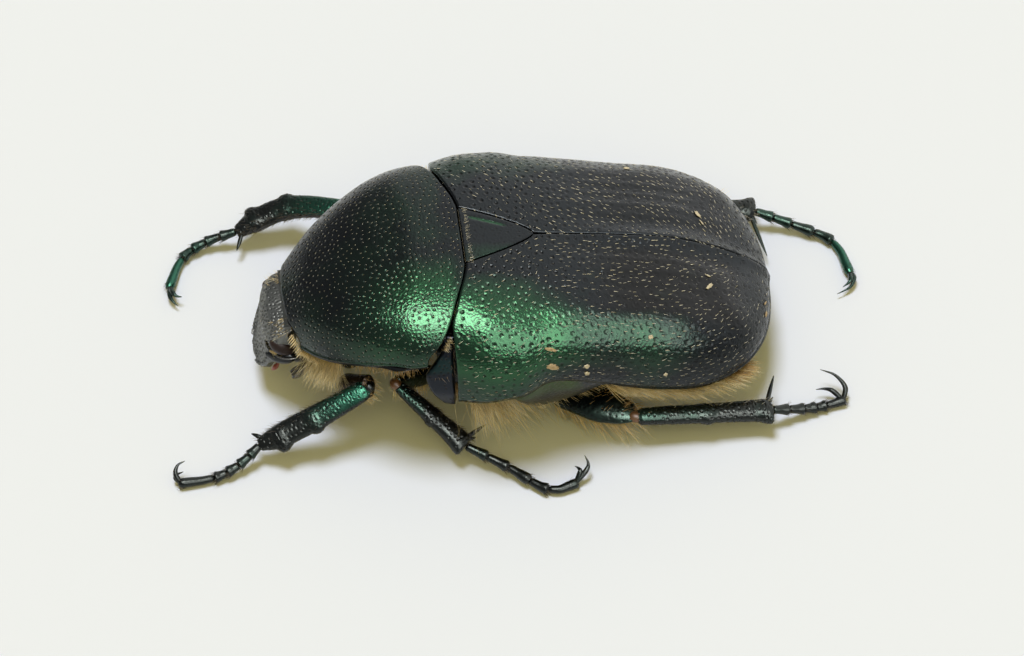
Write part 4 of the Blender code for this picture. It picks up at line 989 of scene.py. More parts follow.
def tube_faces(rows, count, first=0):
    """Quads of a closed tube of rings, and triangles of its two end caps, which need one point more each."""
    a = (np.arange(rows)[:, None] * count + np.arange(count)[None]).ravel() + first
    b = (np.arange(rows)[:, None] * count + (np.arange(count)[None] + 1) % count).ravel() + first
    quads = np.stack([a, b, b + count, a + count], 1)
    low = first + (rows + 1) * count
    ring = np.arange(count)
    start = np.stack([ring + first, np.full(count, low), (ring + 1) % count + first], 1)
    end = np.stack([ring + first + rows * count, (ring + 1) % count + first + rows * count,
                    np.full(count, low + 1)], 1)
    return quads, np.concatenate([start, end])


def join_tubes(name, tubes, finish, marks=None, tints_and_painted_sheens=None):
    """One object from grids of rings; each tube keeps its own closed surface."""
    points, quads, caps, values, tube_tints_and_painted_sheens = [], [], [], [], []
    total = 0
    for n, grid in enumerate(tubes):
        rows, count = grid.shape[0] - 1, grid.shape[1]
        four, three = tube_faces(rows, count, total)
        quads.append(four)
        caps.append(three)
        block = np.concatenate([grid.reshape(-1, 3), grid[0].mean(0)[None], grid[-1].mean(0)[None]])
        points.append(block)
        plain = marks is None or marks[n] is None
        mark = np.zeros(len(block)) if plain else np.concatenate([marks[n].ravel(), [0, 0]])
        values.append(mark)
        # each tube's tint and painted sheen
        tube_tint_and_painted_sheen = np.full(grid.shape[:2], 0.0 if tints_and_painted_sheens is None else tints_and_painted_sheens[n])
        tube_tints_and_painted_sheens.append(np.concatenate([tube_tint_and_painted_sheen.ravel(), [0, 0]]))
        total += len(block)
    made = add_mesh(name, np.concatenate(points), [np.concatenate(quads), np.concatenate(caps)], finish,
                    {"pit": np.concatenate(values), "tint_and_painted_sheen": np.concatenate(tube_tints_and_painted_sheens)})
    face_out(made)
    return made


def ring_sheet(grid):
    """A sheet round a tube, its first ring point repeated at the end, with outward normals."""
    sheet = Sheet(np.concatenate([grid, grid[:, :1]], 1), (0, 0, 0))
    seam = unit(sheet.normals[:, 0] + sheet.normals[:, -1])
    sheet.normals[:, 0] = sheet.normals[:, -1] = seam
    centre = grid.mean(1, keepdims=True)
    if (sheet.normals[:, :-1] * (grid - centre)).sum() < 0:
        sheet.normals = -sheet.normals
    return sheet


def pitted(grid, spacing, radius, depth, seed, weight=None, rim=0.004, horseshoe=0.0):
    """A tube's grid with punctures pressed into it: the new grid, the pit marks, the sheet and heights."""
    sheet = ring_sheet(grid)
    count = int(sheet.area.sum() / spacing ** 2 * 1.8) + 20
    i, j = sheet.scatter(spacing, count, seed, weight)
    draw = np.random.default_rng(seed + 1)
    sizes = radius * draw.uniform(0.8, 1.2, len(i))
    depths = depth * draw.uniform(0.7, 1.2, len(i))
    height, marks = press_pits(sheet, i, j, sizes, depths, rim, horseshoe)
    height[:, -1] = height[:, 0]
    moved = (sheet.points + sheet.normals * height[..., None])[:, :-1]
    return moved, marks[:, :-1], sheet, height


# Body under the shell plates, and head


def prosternum():
    """The underside of the first thorax ring, its upper side hidden in the pronotum."""
    f, v = even_grid(72, 96)
    edge = through(PRONOTUM_MARGIN_Z, f) - 0.2
    surface = pronotum_place(f, (v + 1) / 2)
    x, y = surface[..., 0], surface[..., 1] * 0.975
    top = np.stack([x + 0.06 * (1 - 2 * f), y, np.maximum(surface[..., 2] - 0.3, edge)], -1)
    x = x + mix(*PROSTERNUM_SET_BACK, f) * 0.9
    bottom = np.stack([x, y, edge - 0.02 - (edge - through(PROSTERNUM_Z, f)) * dome(v, PROSTERNUM_ROUND)], -1)
    made = add_slab("prosternum", top, bottom, DARK)
    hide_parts("prothorax")
    return Sheet(bottom, (0, 0, -1))


def head_frame():
    """The ways down the face and straight out of it."""
    down = unit(FACE_END - NECK)
    return down, np.array([down[2], 0.0, -down[0]])


def head_point(s, y, t):
    """Points from how far down the face, how far out and how far above the line of the face they are."""
    s, y, t = np.broadcast_arrays(s, y, t)
    out = head_frame()[1]
    aside = np.array([0.0, 1.0, 0.0])
    return NECK + (FACE_END - NECK) * s[..., None] + out * t[..., None] + aside * y[..., None]


def head():
    """The head: frons, raised mouth shield with its notch, cheeks and sockets."""
    rows, columns = 150, 150
    f, v = even_grid(rows, columns)
    notch = 0.035 * swell(v, 0, 0.28)
    s = f * (1 - notch * smooth(0.8, 1.0, f))
    y = v * through(HEAD_HALF_WIDTH, s)
    rise = dome(v, HEAD_ROUND)
    face = mix(through(HEAD_EDGE_FACE, s), through(HEAD_FACE, s), rise)
    shield = smooth(0.5, 0.62, s)
    face += shield * (0.13 * swell(np.abs(v), 0.9, 0.09) - 0.05 * swell(np.abs(v), 0.6, 0.25))
    face += 0.05 * shield * swell(v, 0, 0.2)
    face += 0.05 * smooth(0.05, 0.2, s) * (1 - smooth(0.35, 0.5, s)) * swell(v, 0, 0.14)
    back = mix(through(HEAD_EDGE_BACK, s), through(HEAD_BACK, s), rise)
    upper = head_point(s, y, face)
    upper[..., 0] += CROWN[1] * (np.clip(CROWN[0] - s, 0, None) / CROWN[0]) ** 1.5
    top = Sheet(upper, (-1, 0, 0))
    weight = (s > 0.04) & (s < 0.965) & (np.abs(v) < 0.97)
    height, marks, _ = punctures(top, "head", (51, 52), 0.0, weight)
    points = top.points + top.normals * height[..., None]
    base = head_point(s, y, back)

    # room for the eyes, and the feelers' pits in front of them, darkened with painted shade
    dark = np.zeros(marks.shape)
    for side in (-1, 1):
        socket = head_point(*(np.array(q) for q in (EYE_PLACE[0], side * EYE_PLACE[1], EYE_PLACE[2])))
        for block in (points, base):
            far = np.linalg.norm(block - socket, axis=-1, keepdims=True)
            block += np.array([0.0, -side, 0.0]) * np.clip(0.50 - far, 0, None) * 0.9
        hole = head_point(*(np.array(q) for q in (FEELER_PIT[0], side * FEELER_PIT[1], FEELER_PIT[2])))
        away = (points - hole) / np.array([0.30, 0.32, 0.30])
        bowl = np.clip(1 - (away ** 2).sum(-1), 0, 1)
        points += (unit(np.array([0.4, -side * 0.9, -0.1])) * 0.42) * np.sqrt(bowl)[..., None]
        dark = np.maximum(dark, smooth(0.0, 0.08, bowl))
    marks = np.maximum(marks * 0.85, dark)
    flat = np.concatenate([marks.ravel(), np.zeros(marks.size)])
    made = add_slab("head_capsule", points, base, HEAD_GREY, {"pit": flat})
    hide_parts("head")
    return top, height


def eye(side, name):
    """A bulging compound eye, wider than high, with its facets left to the material."""
    shape = bmesh.new()
    bmesh.ops.create_uvsphere(shape, u_segments=64, v_segments=40, radius=1.0)
    unit_points = np.array([v.co for v in shape.verts])
    triangles = [tuple(v.index for v in f.verts) for f in shape.faces]
    shape.free()
    down, out = head_frame()
    centre = head_point(np.array(EYE_PLACE[0]), np.array(side * EYE_PLACE[1]), np.array(EYE_PLACE[2]))
    down = unit(down + np.array([-0.5, 0.0, 0.0]))
    out = np.array([down[2], 0.0, -down[0]])
    axes = np.stack([out * EYE_RADII[0], np.array([0.0, EYE_RADII[1], 0.0]), down * EYE_RADII[2]])
    points = centre + unit_points @ axes
    quads = [t for t in triangles if len(t) == 4]
    threes = [t for t in triangles if len(t) == 3]
    made = add_mesh("compound_eye_" + name, points, [np.array(quads), np.array(threes)], EYE)
    face_out(made)
    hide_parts("eye_" + name)


def canthus(side, name):
    """The blade of cheek that runs back under the eye, and the dark cheek below it."""
    route = sided(side, (-8.22, 1.52, 3.06), (-7.98, 1.78, 3.08), (-7.66, 1.98, 3.12), (-7.28, 2.06, 3.20))
    stations = [(0.0, 0.06, 0.06), (0.3, 0.08, 0.08), (0.8, 0.06, 0.06), (1.0, 0.02, 0.02)]
    blade = limb(route, stations, 0.35, (0.3, side, 0.0), 40, 16)
    cheek = sided(side, (-8.45, 1.30, 2.72), (-8.05, 1.55, 2.74), (-7.6, 1.75, 2.86), (-7.25, 1.7, 3.0))
    body = limb(cheek, [(0.0, 0.16, 0.16), (0.4, 0.30, 0.30), (0.8, 0.26, 0.26), (1.0, 0.08, 0.08)],
                0.8, (0, 0, 1), 40, 20)
    join_tubes("canthus_" + name, [blade], CANTHUS)
    join_tubes("cheek_" + name, [body], DARK)


def feeler(side, name):
    """Scape, small joints and the club of three leaves, seen edge on."""
    scape = sided(side, (-8.1, 1.20, 2.95), (-7.5, 1.60, 2.72), (-6.82, 2.02, 2.90))
    tubes = [limb(scape, [(0.0, 0.06, 0.06), (0.3, 0.10, 0.10), (0.8, 0.15, 0.14), (1.0, 0.11, 0.11)], 1.0,
                  (0, 0, 1), 24, 16)]
    joints = sided(side, (-6.80, 2.04, 2.92), (-6.62, 2.16, 3.02))
    beads = []
    for k in range(4):
        beads += [(k / 4 + 0.01, 0.06, 0.06), (k / 4 + 0.125, 0.10, 0.10), (k / 4 + 0.24, 0.06, 0.06)]
    tubes.append(limb(joints, beads, 1.0, (1, 0, 0), 48, 14))
    first, last, broad = sided(side, (-6.60, 2.19, 3.02), (-7.46, 2.02, 1.92), (-0.72, 0.32, 0.50))
    axis = unit(last - first)
    broad = unit(broad - axis * (axis @ broad))
    stack = np.cross(axis, broad)
    for k in (-1, 0, 1):
        leaf = [mix(first, last, f) + stack * k * fan for f, fan in CLUB_FAN]
        widths = [(0.0, 0.06, 0.06), (0.25, 0.20, 0.18), (0.6, 0.27, 0.24), (0.88, 0.22, 0.19),
                  (1.0, 0.05, 0.05)]
        tubes.append(limb(leaf, widths, 0.26, broad, 32, 18, 2.6))
    made = join_tubes("feeler_" + name, tubes, CLUB)
    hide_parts("antenna_" + name)


def palps_and_mouth():
    """The two palps, and the lip and jaws as three flat plates under the mouth shield."""
    for side, name in ((-1, "left"), (1, "right")):
        route = sided(side, (-7.85, 1.0, 1.95), (-8.02, 1.15, 1.65), (-8.25, 1.18, 1.33))
        stations = [(0.0, 0.08, 0.08), (0.3, 0.10, 0.10), (0.42, 0.07, 0.07), (0.7, 0.13, 0.13),
                    (1.0, 0.06, 0.06)]
        made = join_tubes("mouth_palp_" + name, [limb(route, stations, 0.9, (0, 1, 0), 36, 16)], RED)
        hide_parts("palp_" + name)
    tubes = []
    for s0, s1, half, drop in ((0.66, 0.97, 0.72, -0.62), (0.62, 0.9, 0.62, -0.95), (0.6, 0.84, 0.5, -1.22)):
        ends = [head_point(np.array(s0), np.array(0.0), np.array(drop)),
                head_point(np.array(s1), np.array(0.0), np.array(drop * 0.92))]
        stations = [(0.0, half * 0.8, half * 0.8), (0.3, half, half), (0.8, half * 0.92, half * 0.92),
                    (1.0, half * 0.6, half * 0.6)]
        tubes.append(limb(ends, stations, 0.22, (0, 1, 0), 24, 36, 3.0))
    made = join_tubes("lip_and_jaws", tubes, RED)
    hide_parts("mouthparts")


def thorax():
    """The second and third thorax rings, with the blunt boss between the middle legs."""
    f, v = even_grid(120, 120)
    y = v * through(THORAX_HALF_WIDTH, f)
    front = through(PRONOTUM_REAR_X, np.abs(y)) + 0.12
    x = mix(front, THORAX_REAR, f)
    top = np.stack([x, y, case_z(x, y, TRUNK_INSET)], -1)
    edge = through(CASE_MARGIN_Z, x) - THORAX_EDGE_DROP
    z = mix(edge, through(BELLY_Z, x), dome(v, 2.4))
    z += 0.10 * swell(y, 0, 0.1) * smooth(0.8, 1.6, x)
    lower = np.stack([x + THORAX_FRONT_LEAN * v * v * (1 - f) ** 10, y, z], -1)
    sheet = Sheet(lower, (0, 0, -1))
    height, marks, _ = punctures(sheet, "thorax", (61, 62), 1.0)
    lower = sheet.points + sheet.normals * height[..., None]
    flat = np.concatenate([np.zeros(marks.size), marks.ravel()])
    made = add_slab("breast", top, lower, DARK, {"pit": flat})
    boss = limb([(-0.3, 0, 1.75), (-1.0, 0, 1.5), (-1.55, 0, 1.62)],
                [(0, 0.55, 0.55), (0.5, 0.62, 0.62), (0.8, 0.6, 0.6), (1, 0.3, 0.3)],
                0.45, (0, 1, 0), 24, 28)
    boss = join_tubes("breast_boss", [boss], DARK)
    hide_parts("thorax")
    return sheet


def abdomen():
    """The belly rings, each overlapping the next, with their sides turned up under the wing cases."""
    f, v = even_grid(144, 120)
    x = mix(ABDOMEN_FRONT, ABDOMEN_REAR, f)
    back = np.maximum(x - CASE_REAR_START, 0.0) / (CASE_END - CASE_REAR_START - TRUNK_INSET)
    half = through(CASE_HALF_WIDTH, np.minimum(x, CASE_REAR_START)) - TRUNK_INSET + 0.25
    y = v * half * dome(back, ABDOMEN_CORNER)
    top = np.stack([x, y, mix(through(CASE_MARGIN_Z, x), case_z(x, 0.0 * y, TRUNK_INSET + 0.3),
                              dome(v, 2.2))], -1)
    edge = through(CASE_MARGIN_Z, x) - THORAX_EDGE_DROP * 0.6
    z = mix(edge, through(ABDOMEN_Z, x), dome(v, 2.0))
    for seam in ABDOMEN_SEAMS:
        z += 0.09 * swell(f, seam, 0.012) * np.where(f > seam, 1.0, 0.5)
        z -= 0.05 * np.exp(-((f - seam + 0.03) / 0.03) ** 2)
    sheet = Sheet(np.stack([x, y, z], -1), (0, 0, -1))
    height, marks, _ = punctures(sheet, "abdomen", (63, 64), 1.0)
    lower = sheet.points + sheet.normals * height[..., None]
    flat = np.concatenate([np.zeros(marks.size), marks.ravel()])
    made = add_slab("belly_rings", top, lower, DARK, {"pit": flat})
    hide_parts("abdomen")
    return sheet


def side_plate(side, name):
    """The plate between the pronotum's hind corner and the shoulder: rough and hairy above, smooth below."""
    f, v = np.meshgrid(np.linspace(0, 1, 33), np.linspace(0, SIDE_PLATE_REACH, 113), indexing="ij")
    rear = SIDE_PLATE_REAR_X + 0.12 * np.maximum(v - 1, 0) / (SIDE_PLATE_REACH - 1)
    x = mix(through(SIDE_PLATE_FRONT_X, v) + 0.3 * np.maximum(v - 1, 0), rear, f)
    y = through(SIDE_PLATE_Y, v) - SIDE_PLATE_TURN * (1 - f) - 1.6 * np.maximum(v - 1, 0)
    points = np.stack([x, side * y, mix(*SIDE_PLATE_Z, v)], -1)
    sheet = Sheet(points, (0, side, 0))
    height, marks, _ = punctures(sheet, "side_plate", (65, 66), 0.0, 0.02 + smooth(0.55, 0.7, v))
    edges = np.minimum.reduce(edge_distance(sheet))
    height -= edge_fall(edges, 0.08, 0.16)
    # painted teal glint across the plate's middle height
    tint_and_painted_sheen = 0.6 * smooth(5.0, 5.4, points[..., 2]) * (1 - smooth(5.7, 6.2, points[..., 2]))
    made = add_plate("shoulder_plate_" + name, sheet, height, 0.4, 8, PLATE, {"pit": marks, "tint_and_painted_sheen": tint_and_painted_sheen})
    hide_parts("side_plate_" + name)
    return sheet, height


def hind_coxa(side, name):
    """The leaf-shaped plate under the notch of the wing case, and the bar across the belly."""
    f, v = np.meshgrid(np.linspace(0, 1, 129), np.linspace(0, 1, 49), indexing="ij")
    x = mix(*COXA_LEAF_X, f)
    top = through(CASE_MARGIN_Z, x) - 0.03
    low = np.minimum(through(COXA_LEAF_LOW_Z, f), top - 0.12)
    y = through(CASE_HALF_WIDTH, x) - COXA_LEAF_SET_IN - 0.45 * (1 - v) ** 2 - 0.12 * v ** 3
    points = np.stack([x, side * y, mix(low, top, v)], -1)
    sheet = Sheet(points, (0, side, 0))
    weight = smooth(0.35, 0.5, f) * smooth(0.15, 0.35, v) + 0.03
    height, marks, _ = punctures(sheet, "leaf", (67, 68), 1.0, weight)
    edges = np.minimum.reduce(edge_distance(sheet))
    height -= edge_fall(edges, 0.06, 0.12)
    # painted green sheen on the upper front of the leaf plate
    tint_and_painted_sheen = smooth(0.35, 0.7, v) * (1 - smooth(0.6, 0.8, f))
    made = add_plate("leaf_plate_" + name, sheet, height, 0.5, 8, LEAF, {"pit": marks, "tint_and_painted_sheen": tint_and_painted_sheen})
    route = sided(side, *COXA_BAR)
    wide = COXA_BAR_HALF_WIDTH
    stations = [(0.0, wide * 0.8, wide * 0.7), (0.15, wide, wide), (0.8, wide, wide), (1.0, 0.85, 0.85)]
    bar = limb(route, stations, 0.38, (1, 0, 0), 60, 64, 2.4)
    grid, pits, *_ = pitted(bar, 0.26, 0.08, 0.025, 69, horseshoe=1.0)
    bar = join_tubes("coxa_bar_" + name, [grid], DARK, [pits])
    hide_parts("coxa_hind_" + name)
    return sheet


def tail_plate():
    """The last plate, upright behind the wing cases."""
    f, g = np.meshgrid(np.linspace(0, 1, 41), np.linspace(-1, 1, 97), indexing="ij")
    y = g * mix(*TAIL_PLATE_HALF_WIDTH, f)
    x = mix(*TAIL_PLATE_X, f) - TAIL_PLATE_BOW * g * g + 0.10 * np.sin(math.pi * f)
    z = mix(*TAIL_PLATE_Z, f) + 0.1 * g * g * (1 - f)
    sheet = Sheet(np.stack([x, y, z], -1), (1, 0, 0))
    height, marks, _ = punctures(sheet, "tail_plate", (71, 72), 1.0)
    made = add_plate("tail_plate", sheet, height, 0.4, 8, GREEN, {"pit": marks})
    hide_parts("pygidium")


# Legs


def toward(start, end, distance):
    """The point that far from start on the way to end."""
    return start + unit(end - start) * distance


def leg(name, seed):
    """Femur, toothed tibia with its spur, five foot joints and two claws."""
    pair, side_name = name.split("_")
    side = -1 if side_name == "left" else 1
    data = LEGS[name]
    hip, knee, ankle, outer = (np.array(data[key]) for key in ("hip", "knee", "ankle", "outer"))
    surfaces = {}
    if pair != "hind":
        route = sided(side, *HIP_COXA[pair])
        stations = [(0.0, 0.42, 0.42), (0.2, 0.52, 0.52), (0.8, 0.44, 0.44), (1.0, 0.3, 0.3)]
        grid, pits, *_ = pitted(limb(route, stations, 1.0, (1, 0, 0), 40, 40), 0.2, 0.06, 0.02, seed)
        made = join_tubes("hip_" + name, [grid], LEG, [pits])
        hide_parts("coxa_" + name)
    width, flat = FEMUR_WIDTHS[pair]
    end = FEMUR_END[pair]
    stations = [(0.0, 0.26, 0.26), (0.07, 0.36, 0.36), (0.3, width, width), (0.6, width, width * 0.95),
                (0.85, max(end, width * 0.72), max(end, width * 0.72)), (0.95, end, end),
                (1.0, end * 0.6, end * 0.6)]
    femur = limb([hip, knee], stations, flat * 1.1, outer, 110, 84)
    grid, pits, sheet, height = pitted(femur, 0.17, 0.065, 0.030, seed + 1)
    surfaces["femur"] = (sheet, height)
    made = join_tubes("thigh_" + name, [grid], THIGH if pair == "fore" else LEG, [pits], [0.35])
    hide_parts("femur_" + name)

    route = [np.array(data["shin"]), ankle] if "shin" in data else [ankle]
    start = toward(knee, route[0], KNEE_ROOM)
    shin = limb([start] + route, TIBIA_WIDTHS[pair], TIBIA_FLAT[pair], outer, 190, 72, 2.3)
    grid, pits, sheet, height = pitted(shin, 0.16, 0.065, 0.042, seed + 2, None, 0.010)
    surfaces["tibia"] = (sheet, height)
    spur_root = toward(ankle, start, 0.25) - outer * 0.12
    spur_tip = np.array(data["spur"])
    spur_route = [spur_root, mix(spur_root, spur_tip, 0.5) - outer * 0.03, spur_tip]
    spur = limb(spur_route, [(0.0, 0.09, 0.09), (0.4, 0.10, 0.10), (0.8, 0.06, 0.06), (1.0, 0.02, 0.02)],
                0.8, outer, 36, 16)
    second = toward(spur_root, spur_root + (spur_tip - spur_root) * 0.6 + unit(ankle - start) * 0.35, 0.6)
    tubes = [grid, spur]
    if pair != "fore":
        tubes.append(limb([spur_root, mix(spur_root, second, 0.5), second],
                          [(0.0, 0.09, 0.09), (0.4, 0.10, 0.10), (1.0, 0.012, 0.012)], 0.7, outer, 30, 14))
    # painted green sheen on the tibia's upper faces near the knee: a painted highlight
    rows = np.linspace(0, 1, grid.shape[0])[:, None]
    green = LEG_PAINTED_SHEEN[pair] * (1 - smooth(0.18, 0.62, rows)) + 0.12
    green = green * smooth(0.1, 0.7, sheet.normals[:, :-1, 2])
    made = join_tubes("shin_" + name, tubes, LEG, [pits] + [None] * (len(tubes) - 1),
                      [green] + [0.1] * (len(tubes) - 1))
    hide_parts("tibia_" + name)
    surfaces["foot"] = foot(name, data, ankle)
    knee_end = toward(knee, start, 0.42)
    skin = LEG if pair == "fore" else KNEE
    cap = limb([toward(knee, hip, 0.25), knee, knee_end],
               [(0.0, 0.14, 0.14), (0.2, 0.23, 0.23), (0.6, 0.25, 0.25), (1.0, 0.12, 0.12)],
               0.9, outer, 20, 24)
    join_tubes("knee_" + name, [cap], skin)
    return surfaces


def foot(name, data, ankle):
    """Five bell-shaped foot joints, the last with two curved claws."""
    route = [np.array(p) for p in data["foot"]]
    route.insert(0, toward(ankle, route[0], ANKLE_ROOM))
    joints = []
    tubes = []
    across = unit(np.cross((0.0, 0.0, 1.0), route[-1] - route[0]))
    whole = curve(route, np.linspace(0, 1, FOOT_STEPS))
    for n, (first, last) in enumerate(zip(FOOT_JOINTS, FOOT_JOINTS[1:])):
        part = [whole[int(round(q * (FOOT_STEPS - 1)))] for q in np.linspace(first, last, 4)]
        if n == LAST_JOINT:
            stations = [(0.0, 0.10, 0.10), (0.10, 0.16, 0.16), (0.5, 0.19, 0.19), (0.9, 0.215, 0.215),
                        (1.0, 0.15, 0.15)]
        else:
            stations = [(0.0, 0.12, 0.12), (0.10, 0.17, 0.17), (0.5, 0.20, 0.20), (0.88, 0.25, 0.25),
                        (1.0, 0.17, 0.17)]
        tube = limb(part, stations, 1.0, across, 40, 26)
        tubes.append(tube)
        joints.append(tube)
    end = route[-1]
    ahead = unit(route[-1] - route[-2])
    for path in data["claws"]:
        claw = [end - ahead * 0.1] + [np.array(p) for p in path]
        stations = [(0.0, 0.10, 0.10), (0.25, 0.115, 0.115), (0.6, 0.07, 0.07), (1.0, 0.012, 0.012)]
        tubes.append(limb(claw, stations, 1.0, (0, 0, 1), 48, 14))
    for tube in tubes:
        np.maximum(tube[..., 2], FOOT_LOW, out=tube[..., 2])
    # painted green sheen on the foot joints, strongest on the right feet's last joints
    joint_painted_sheen, last_joint_painted_sheen = FOOT_PAINTED_SHEEN[name.split("_")[1]]
    tints_and_painted_sheens = [last_joint_painted_sheen if n == LAST_JOINT else joint_painted_sheen for n in range(len(tubes))]
    made = join_tubes("foot_" + name, tubes, LEG, None, tints_and_painted_sheens)
    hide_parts("tarsus_" + name)
    return joints


# Hairs


def strands(name, roots, directions, normals, lengths, width, finish, seed, uv, bend=0.3, sides=3, steps=3,
            lift=0.0, curl=0.0):
    """Tapered hairs as thin closed prisms: each leaves its root one way and bends to its normal or away."""
    draw = np.random.default_rng(seed)
    count = len(roots)
    lengths = np.broadcast_to(lengths, count)
    widths = np.broadcast_to(width, count)
    directions = unit(directions)
    aside = unit(np.cross(directions, normals))
    upward = unit(np.cross(aside, directions))
    swing = draw.normal(0, 1, count)
    rings = []
    along = []
    for s in range(steps + 1):
        f = s / steps
        centre = (roots + directions * (lengths * f)[:, None]
                  + upward * (lengths * (lift * f + bend * f * f))[:, None]
                  + aside * (lengths * curl * swing * f * f)[:, None])
        r = (widths * 0.5 * (1 - f ** 1.5 * 0.92))[:, None]
        for k in range(sides):
            turn = 2 * math.pi * k / sides
            rings.append(centre + aside * (r * math.cos(turn)) + upward * (r * math.sin(turn) * 0.6))
            along.append(np.full(count, f))
    points = np.stack(rings, 1).reshape(-1, 3)
    np.maximum(points[:, 2], HAIR_LOW, out=points[:, 2])
    along = np.stack(along, 1).ravel()
    per = sides * (steps + 1)
    quads = []
    for s in range(steps):
        for k in range(sides):
            a, b = s * sides + k, s * sides + (k + 1) % sides
            quads.append((a, b, b + sides, a + sides))
    base = (np.arange(count) * per)[:, None, None]
    quads = (np.array(quads)[None] + base).reshape(-1, 4)
    caps = [tuple(range(sides))[::-1], tuple(steps * sides + k for k in range(sides))]
    caps = (np.array(caps)[None] + base).reshape(-1, sides)
    tone = np.repeat(draw.random(count), per)
    made = add_mesh(name, points, [quads, caps], finish, {"along": along, "tone": tone})
    offsets = np.array([((k / sides) - 0.5, (s / steps) - 0.5) for s in range(steps + 1)
                        for k in range(sides)]) * COAT_PATCH
    places = np.clip(uv, COAT_PATCH, 1 - COAT_PATCH)[:, None] + offsets[None]
    layer = made.data.uv_layers.new(name="OFBake")
    corner = np.empty(len(made.data.loops), np.int32)
    made.data.loops.foreach_get("vertex_index", corner)
    layer.data.foreach_set("uv", places.reshape(-1, 2)[corner].astype(np.float32).ravel())
    return made


def surface_hairs(name, sheet, height, i, j, length, width, finish, seed, outward=0.0, spread=0.25, sink=0.01,
                  lift=0.12, bend=-0.1):
    """Short hairs that lie back over a plate from given grid places."""
    draw = np.random.default_rng(seed)
    places, normals, along = sheet.at(i, j)
    a = np.clip(i.astype(int), 0, height.shape[0] - 1)
    b = np.clip(j.astype(int), 0, height.shape[1] - 1)
    places = places + normals * (height[a, b] - sink)[:, None]
    aside = np.cross(normals, along)
    way = along + aside * (outward + draw.normal(0, spread, len(i)))[:, None]
    rows, columns = sheet.points.shape[:2]
    uv = np.stack([i / rows, j / columns], 1)
    lengths = length * draw.uniform(0.65, 1.25, len(i))
    return strands(name, places, way, normals, lengths, width, finish, seed + 1, uv, bend=bend, lift=lift,
                   curl=0.08)


def grow(name, sheet, weight, count, lie, length, width, finish, seed, spread=0.22, stand=0.35, droop=-0.15,
         steps=5, height=None, mirror=True, clump=0.0):
    """Hairs grown from a surface where weight is high: they follow a lie and droop.

    With mirror, the lie is mirrored over the midline. With clump above 0, each hair leans that far to the
    tip of the leading hair nearest to it.
    """
    draw = np.random.default_rng(seed)
    share = sheet.area[:-1, :-1] * np.clip(weight, 0, None)[:-1, :-1]
    chances = np.cumsum(share.ravel())
    cells = np.searchsorted(chances, draw.random(count) * chances[-1])
    columns = sheet.points.shape[1] - 1
    i = cells // columns + draw.random(count)
    j = cells % columns + draw.random(count)
    roots, normals, _ = sheet.at(i, j)
    if height is not None:
        roots = roots + normals * height[i.astype(int), j.astype(int)][:, None]
    way = np.broadcast_to(np.array(lie, float), roots.shape).copy()
    if mirror:
        way[:, 1] *= np.sign(roots[:, 1])
    way = unit(way) + normals * stand + draw.normal(0, spread, roots.shape)
    uv = np.stack([i / sheet.points.shape[0], j / sheet.points.shape[1]], 1)
    lengths = length * draw.uniform(0.6, 1.15, count)
    if clump:
        tree = KDTree(count // HAIRS_PER_CLUMP)
        for n in range(count // HAIRS_PER_CLUMP):
            tree.insert(roots[n], n)
        tree.balance()
        leader = np.array([tree.find(root)[1] for root in roots])
        tips = roots[leader] + unit(way[leader]) * lengths[leader][:, None]
        way = mix(unit(way), unit(tips - roots), clump)
    return strands(name, roots - normals * 0.03, way, normals, lengths, width, finish, seed + 1, uv,
                   bend=droop, steps=steps, curl=0.10)


def body_coat(prosternum_sheet, thorax_sheet, abdomen_sheet):
    """The golden hair of the underside: beard, side fringe, belly sides and tail."""
    x, y = prosternum_sheet.points[..., 0], np.abs(prosternum_sheet.points[..., 1])
    out = y / np.max(y, axis=1, keepdims=True)
    front = smooth(0.30, 0.6, out) * (1 - smooth(-5.9, -5.4, x))
    rear = smooth(0.35, 0.7, out) * smooth(-5.4, -4.8, x)
    between = smooth(-5.2, -4.6, x) * (1 - smooth(-3.2, -2.8, x))
    low = smooth(0.10, 0.25, out) * (1 - smooth(0.45, 0.6, out)) * between
    grow("hair_beard", prosternum_sheet, front, **BEARD)
    grow("hair_beard_long", prosternum_sheet, front, **BEARD_LONG)
    grow("hair_between_legs", prosternum_sheet, rear, **BETWEEN_LEGS)
    grow("hair_hanging", prosternum_sheet, low, **HANGING)

    x, y = thorax_sheet.points[..., 0], np.abs(thorax_sheet.points[..., 1])
    front = smooth(2.6, 3.4, y) * (1 - smooth(-0.4, 0.3, x))
    side = smooth(2.6, 3.3, y) * smooth(-1.0, -0.2, x) * (1 - smooth(2.3, 3.1, x))
    side = side * (1 - smooth(0.8, 1.3, x) * smooth(3.2, 3.6, y))
    grow("hair_before_fringe", thorax_sheet, front, **BEFORE_FRINGE)
    grow("hair_fringe", thorax_sheet, side, **FRINGE)
    grow("hair_fringe_long", thorax_sheet, side, **FRINGE_LONG)
    grow("hair_breast", thorax_sheet, smooth(0.4, 1.2, y) * (1 - smooth(2.4, 2.8, x)), **BREAST)

    x, y = abdomen_sheet.points[..., 0], np.abs(abdomen_sheet.points[..., 1])
    out = y / np.maximum(np.max(y, axis=1, keepdims=True), 0.5)
    grow("hair_belly_sides", abdomen_sheet, smooth(0.80, 0.95, out), **BELLY_SIDES)
    grow("hair_belly", abdomen_sheet, smooth(0.5, 1.5, y), **BELLY)
    grow("hair_tail", abdomen_sheet, smooth(10.0, 10.8, x) * smooth(0.45, 0.8, out), **TAIL)


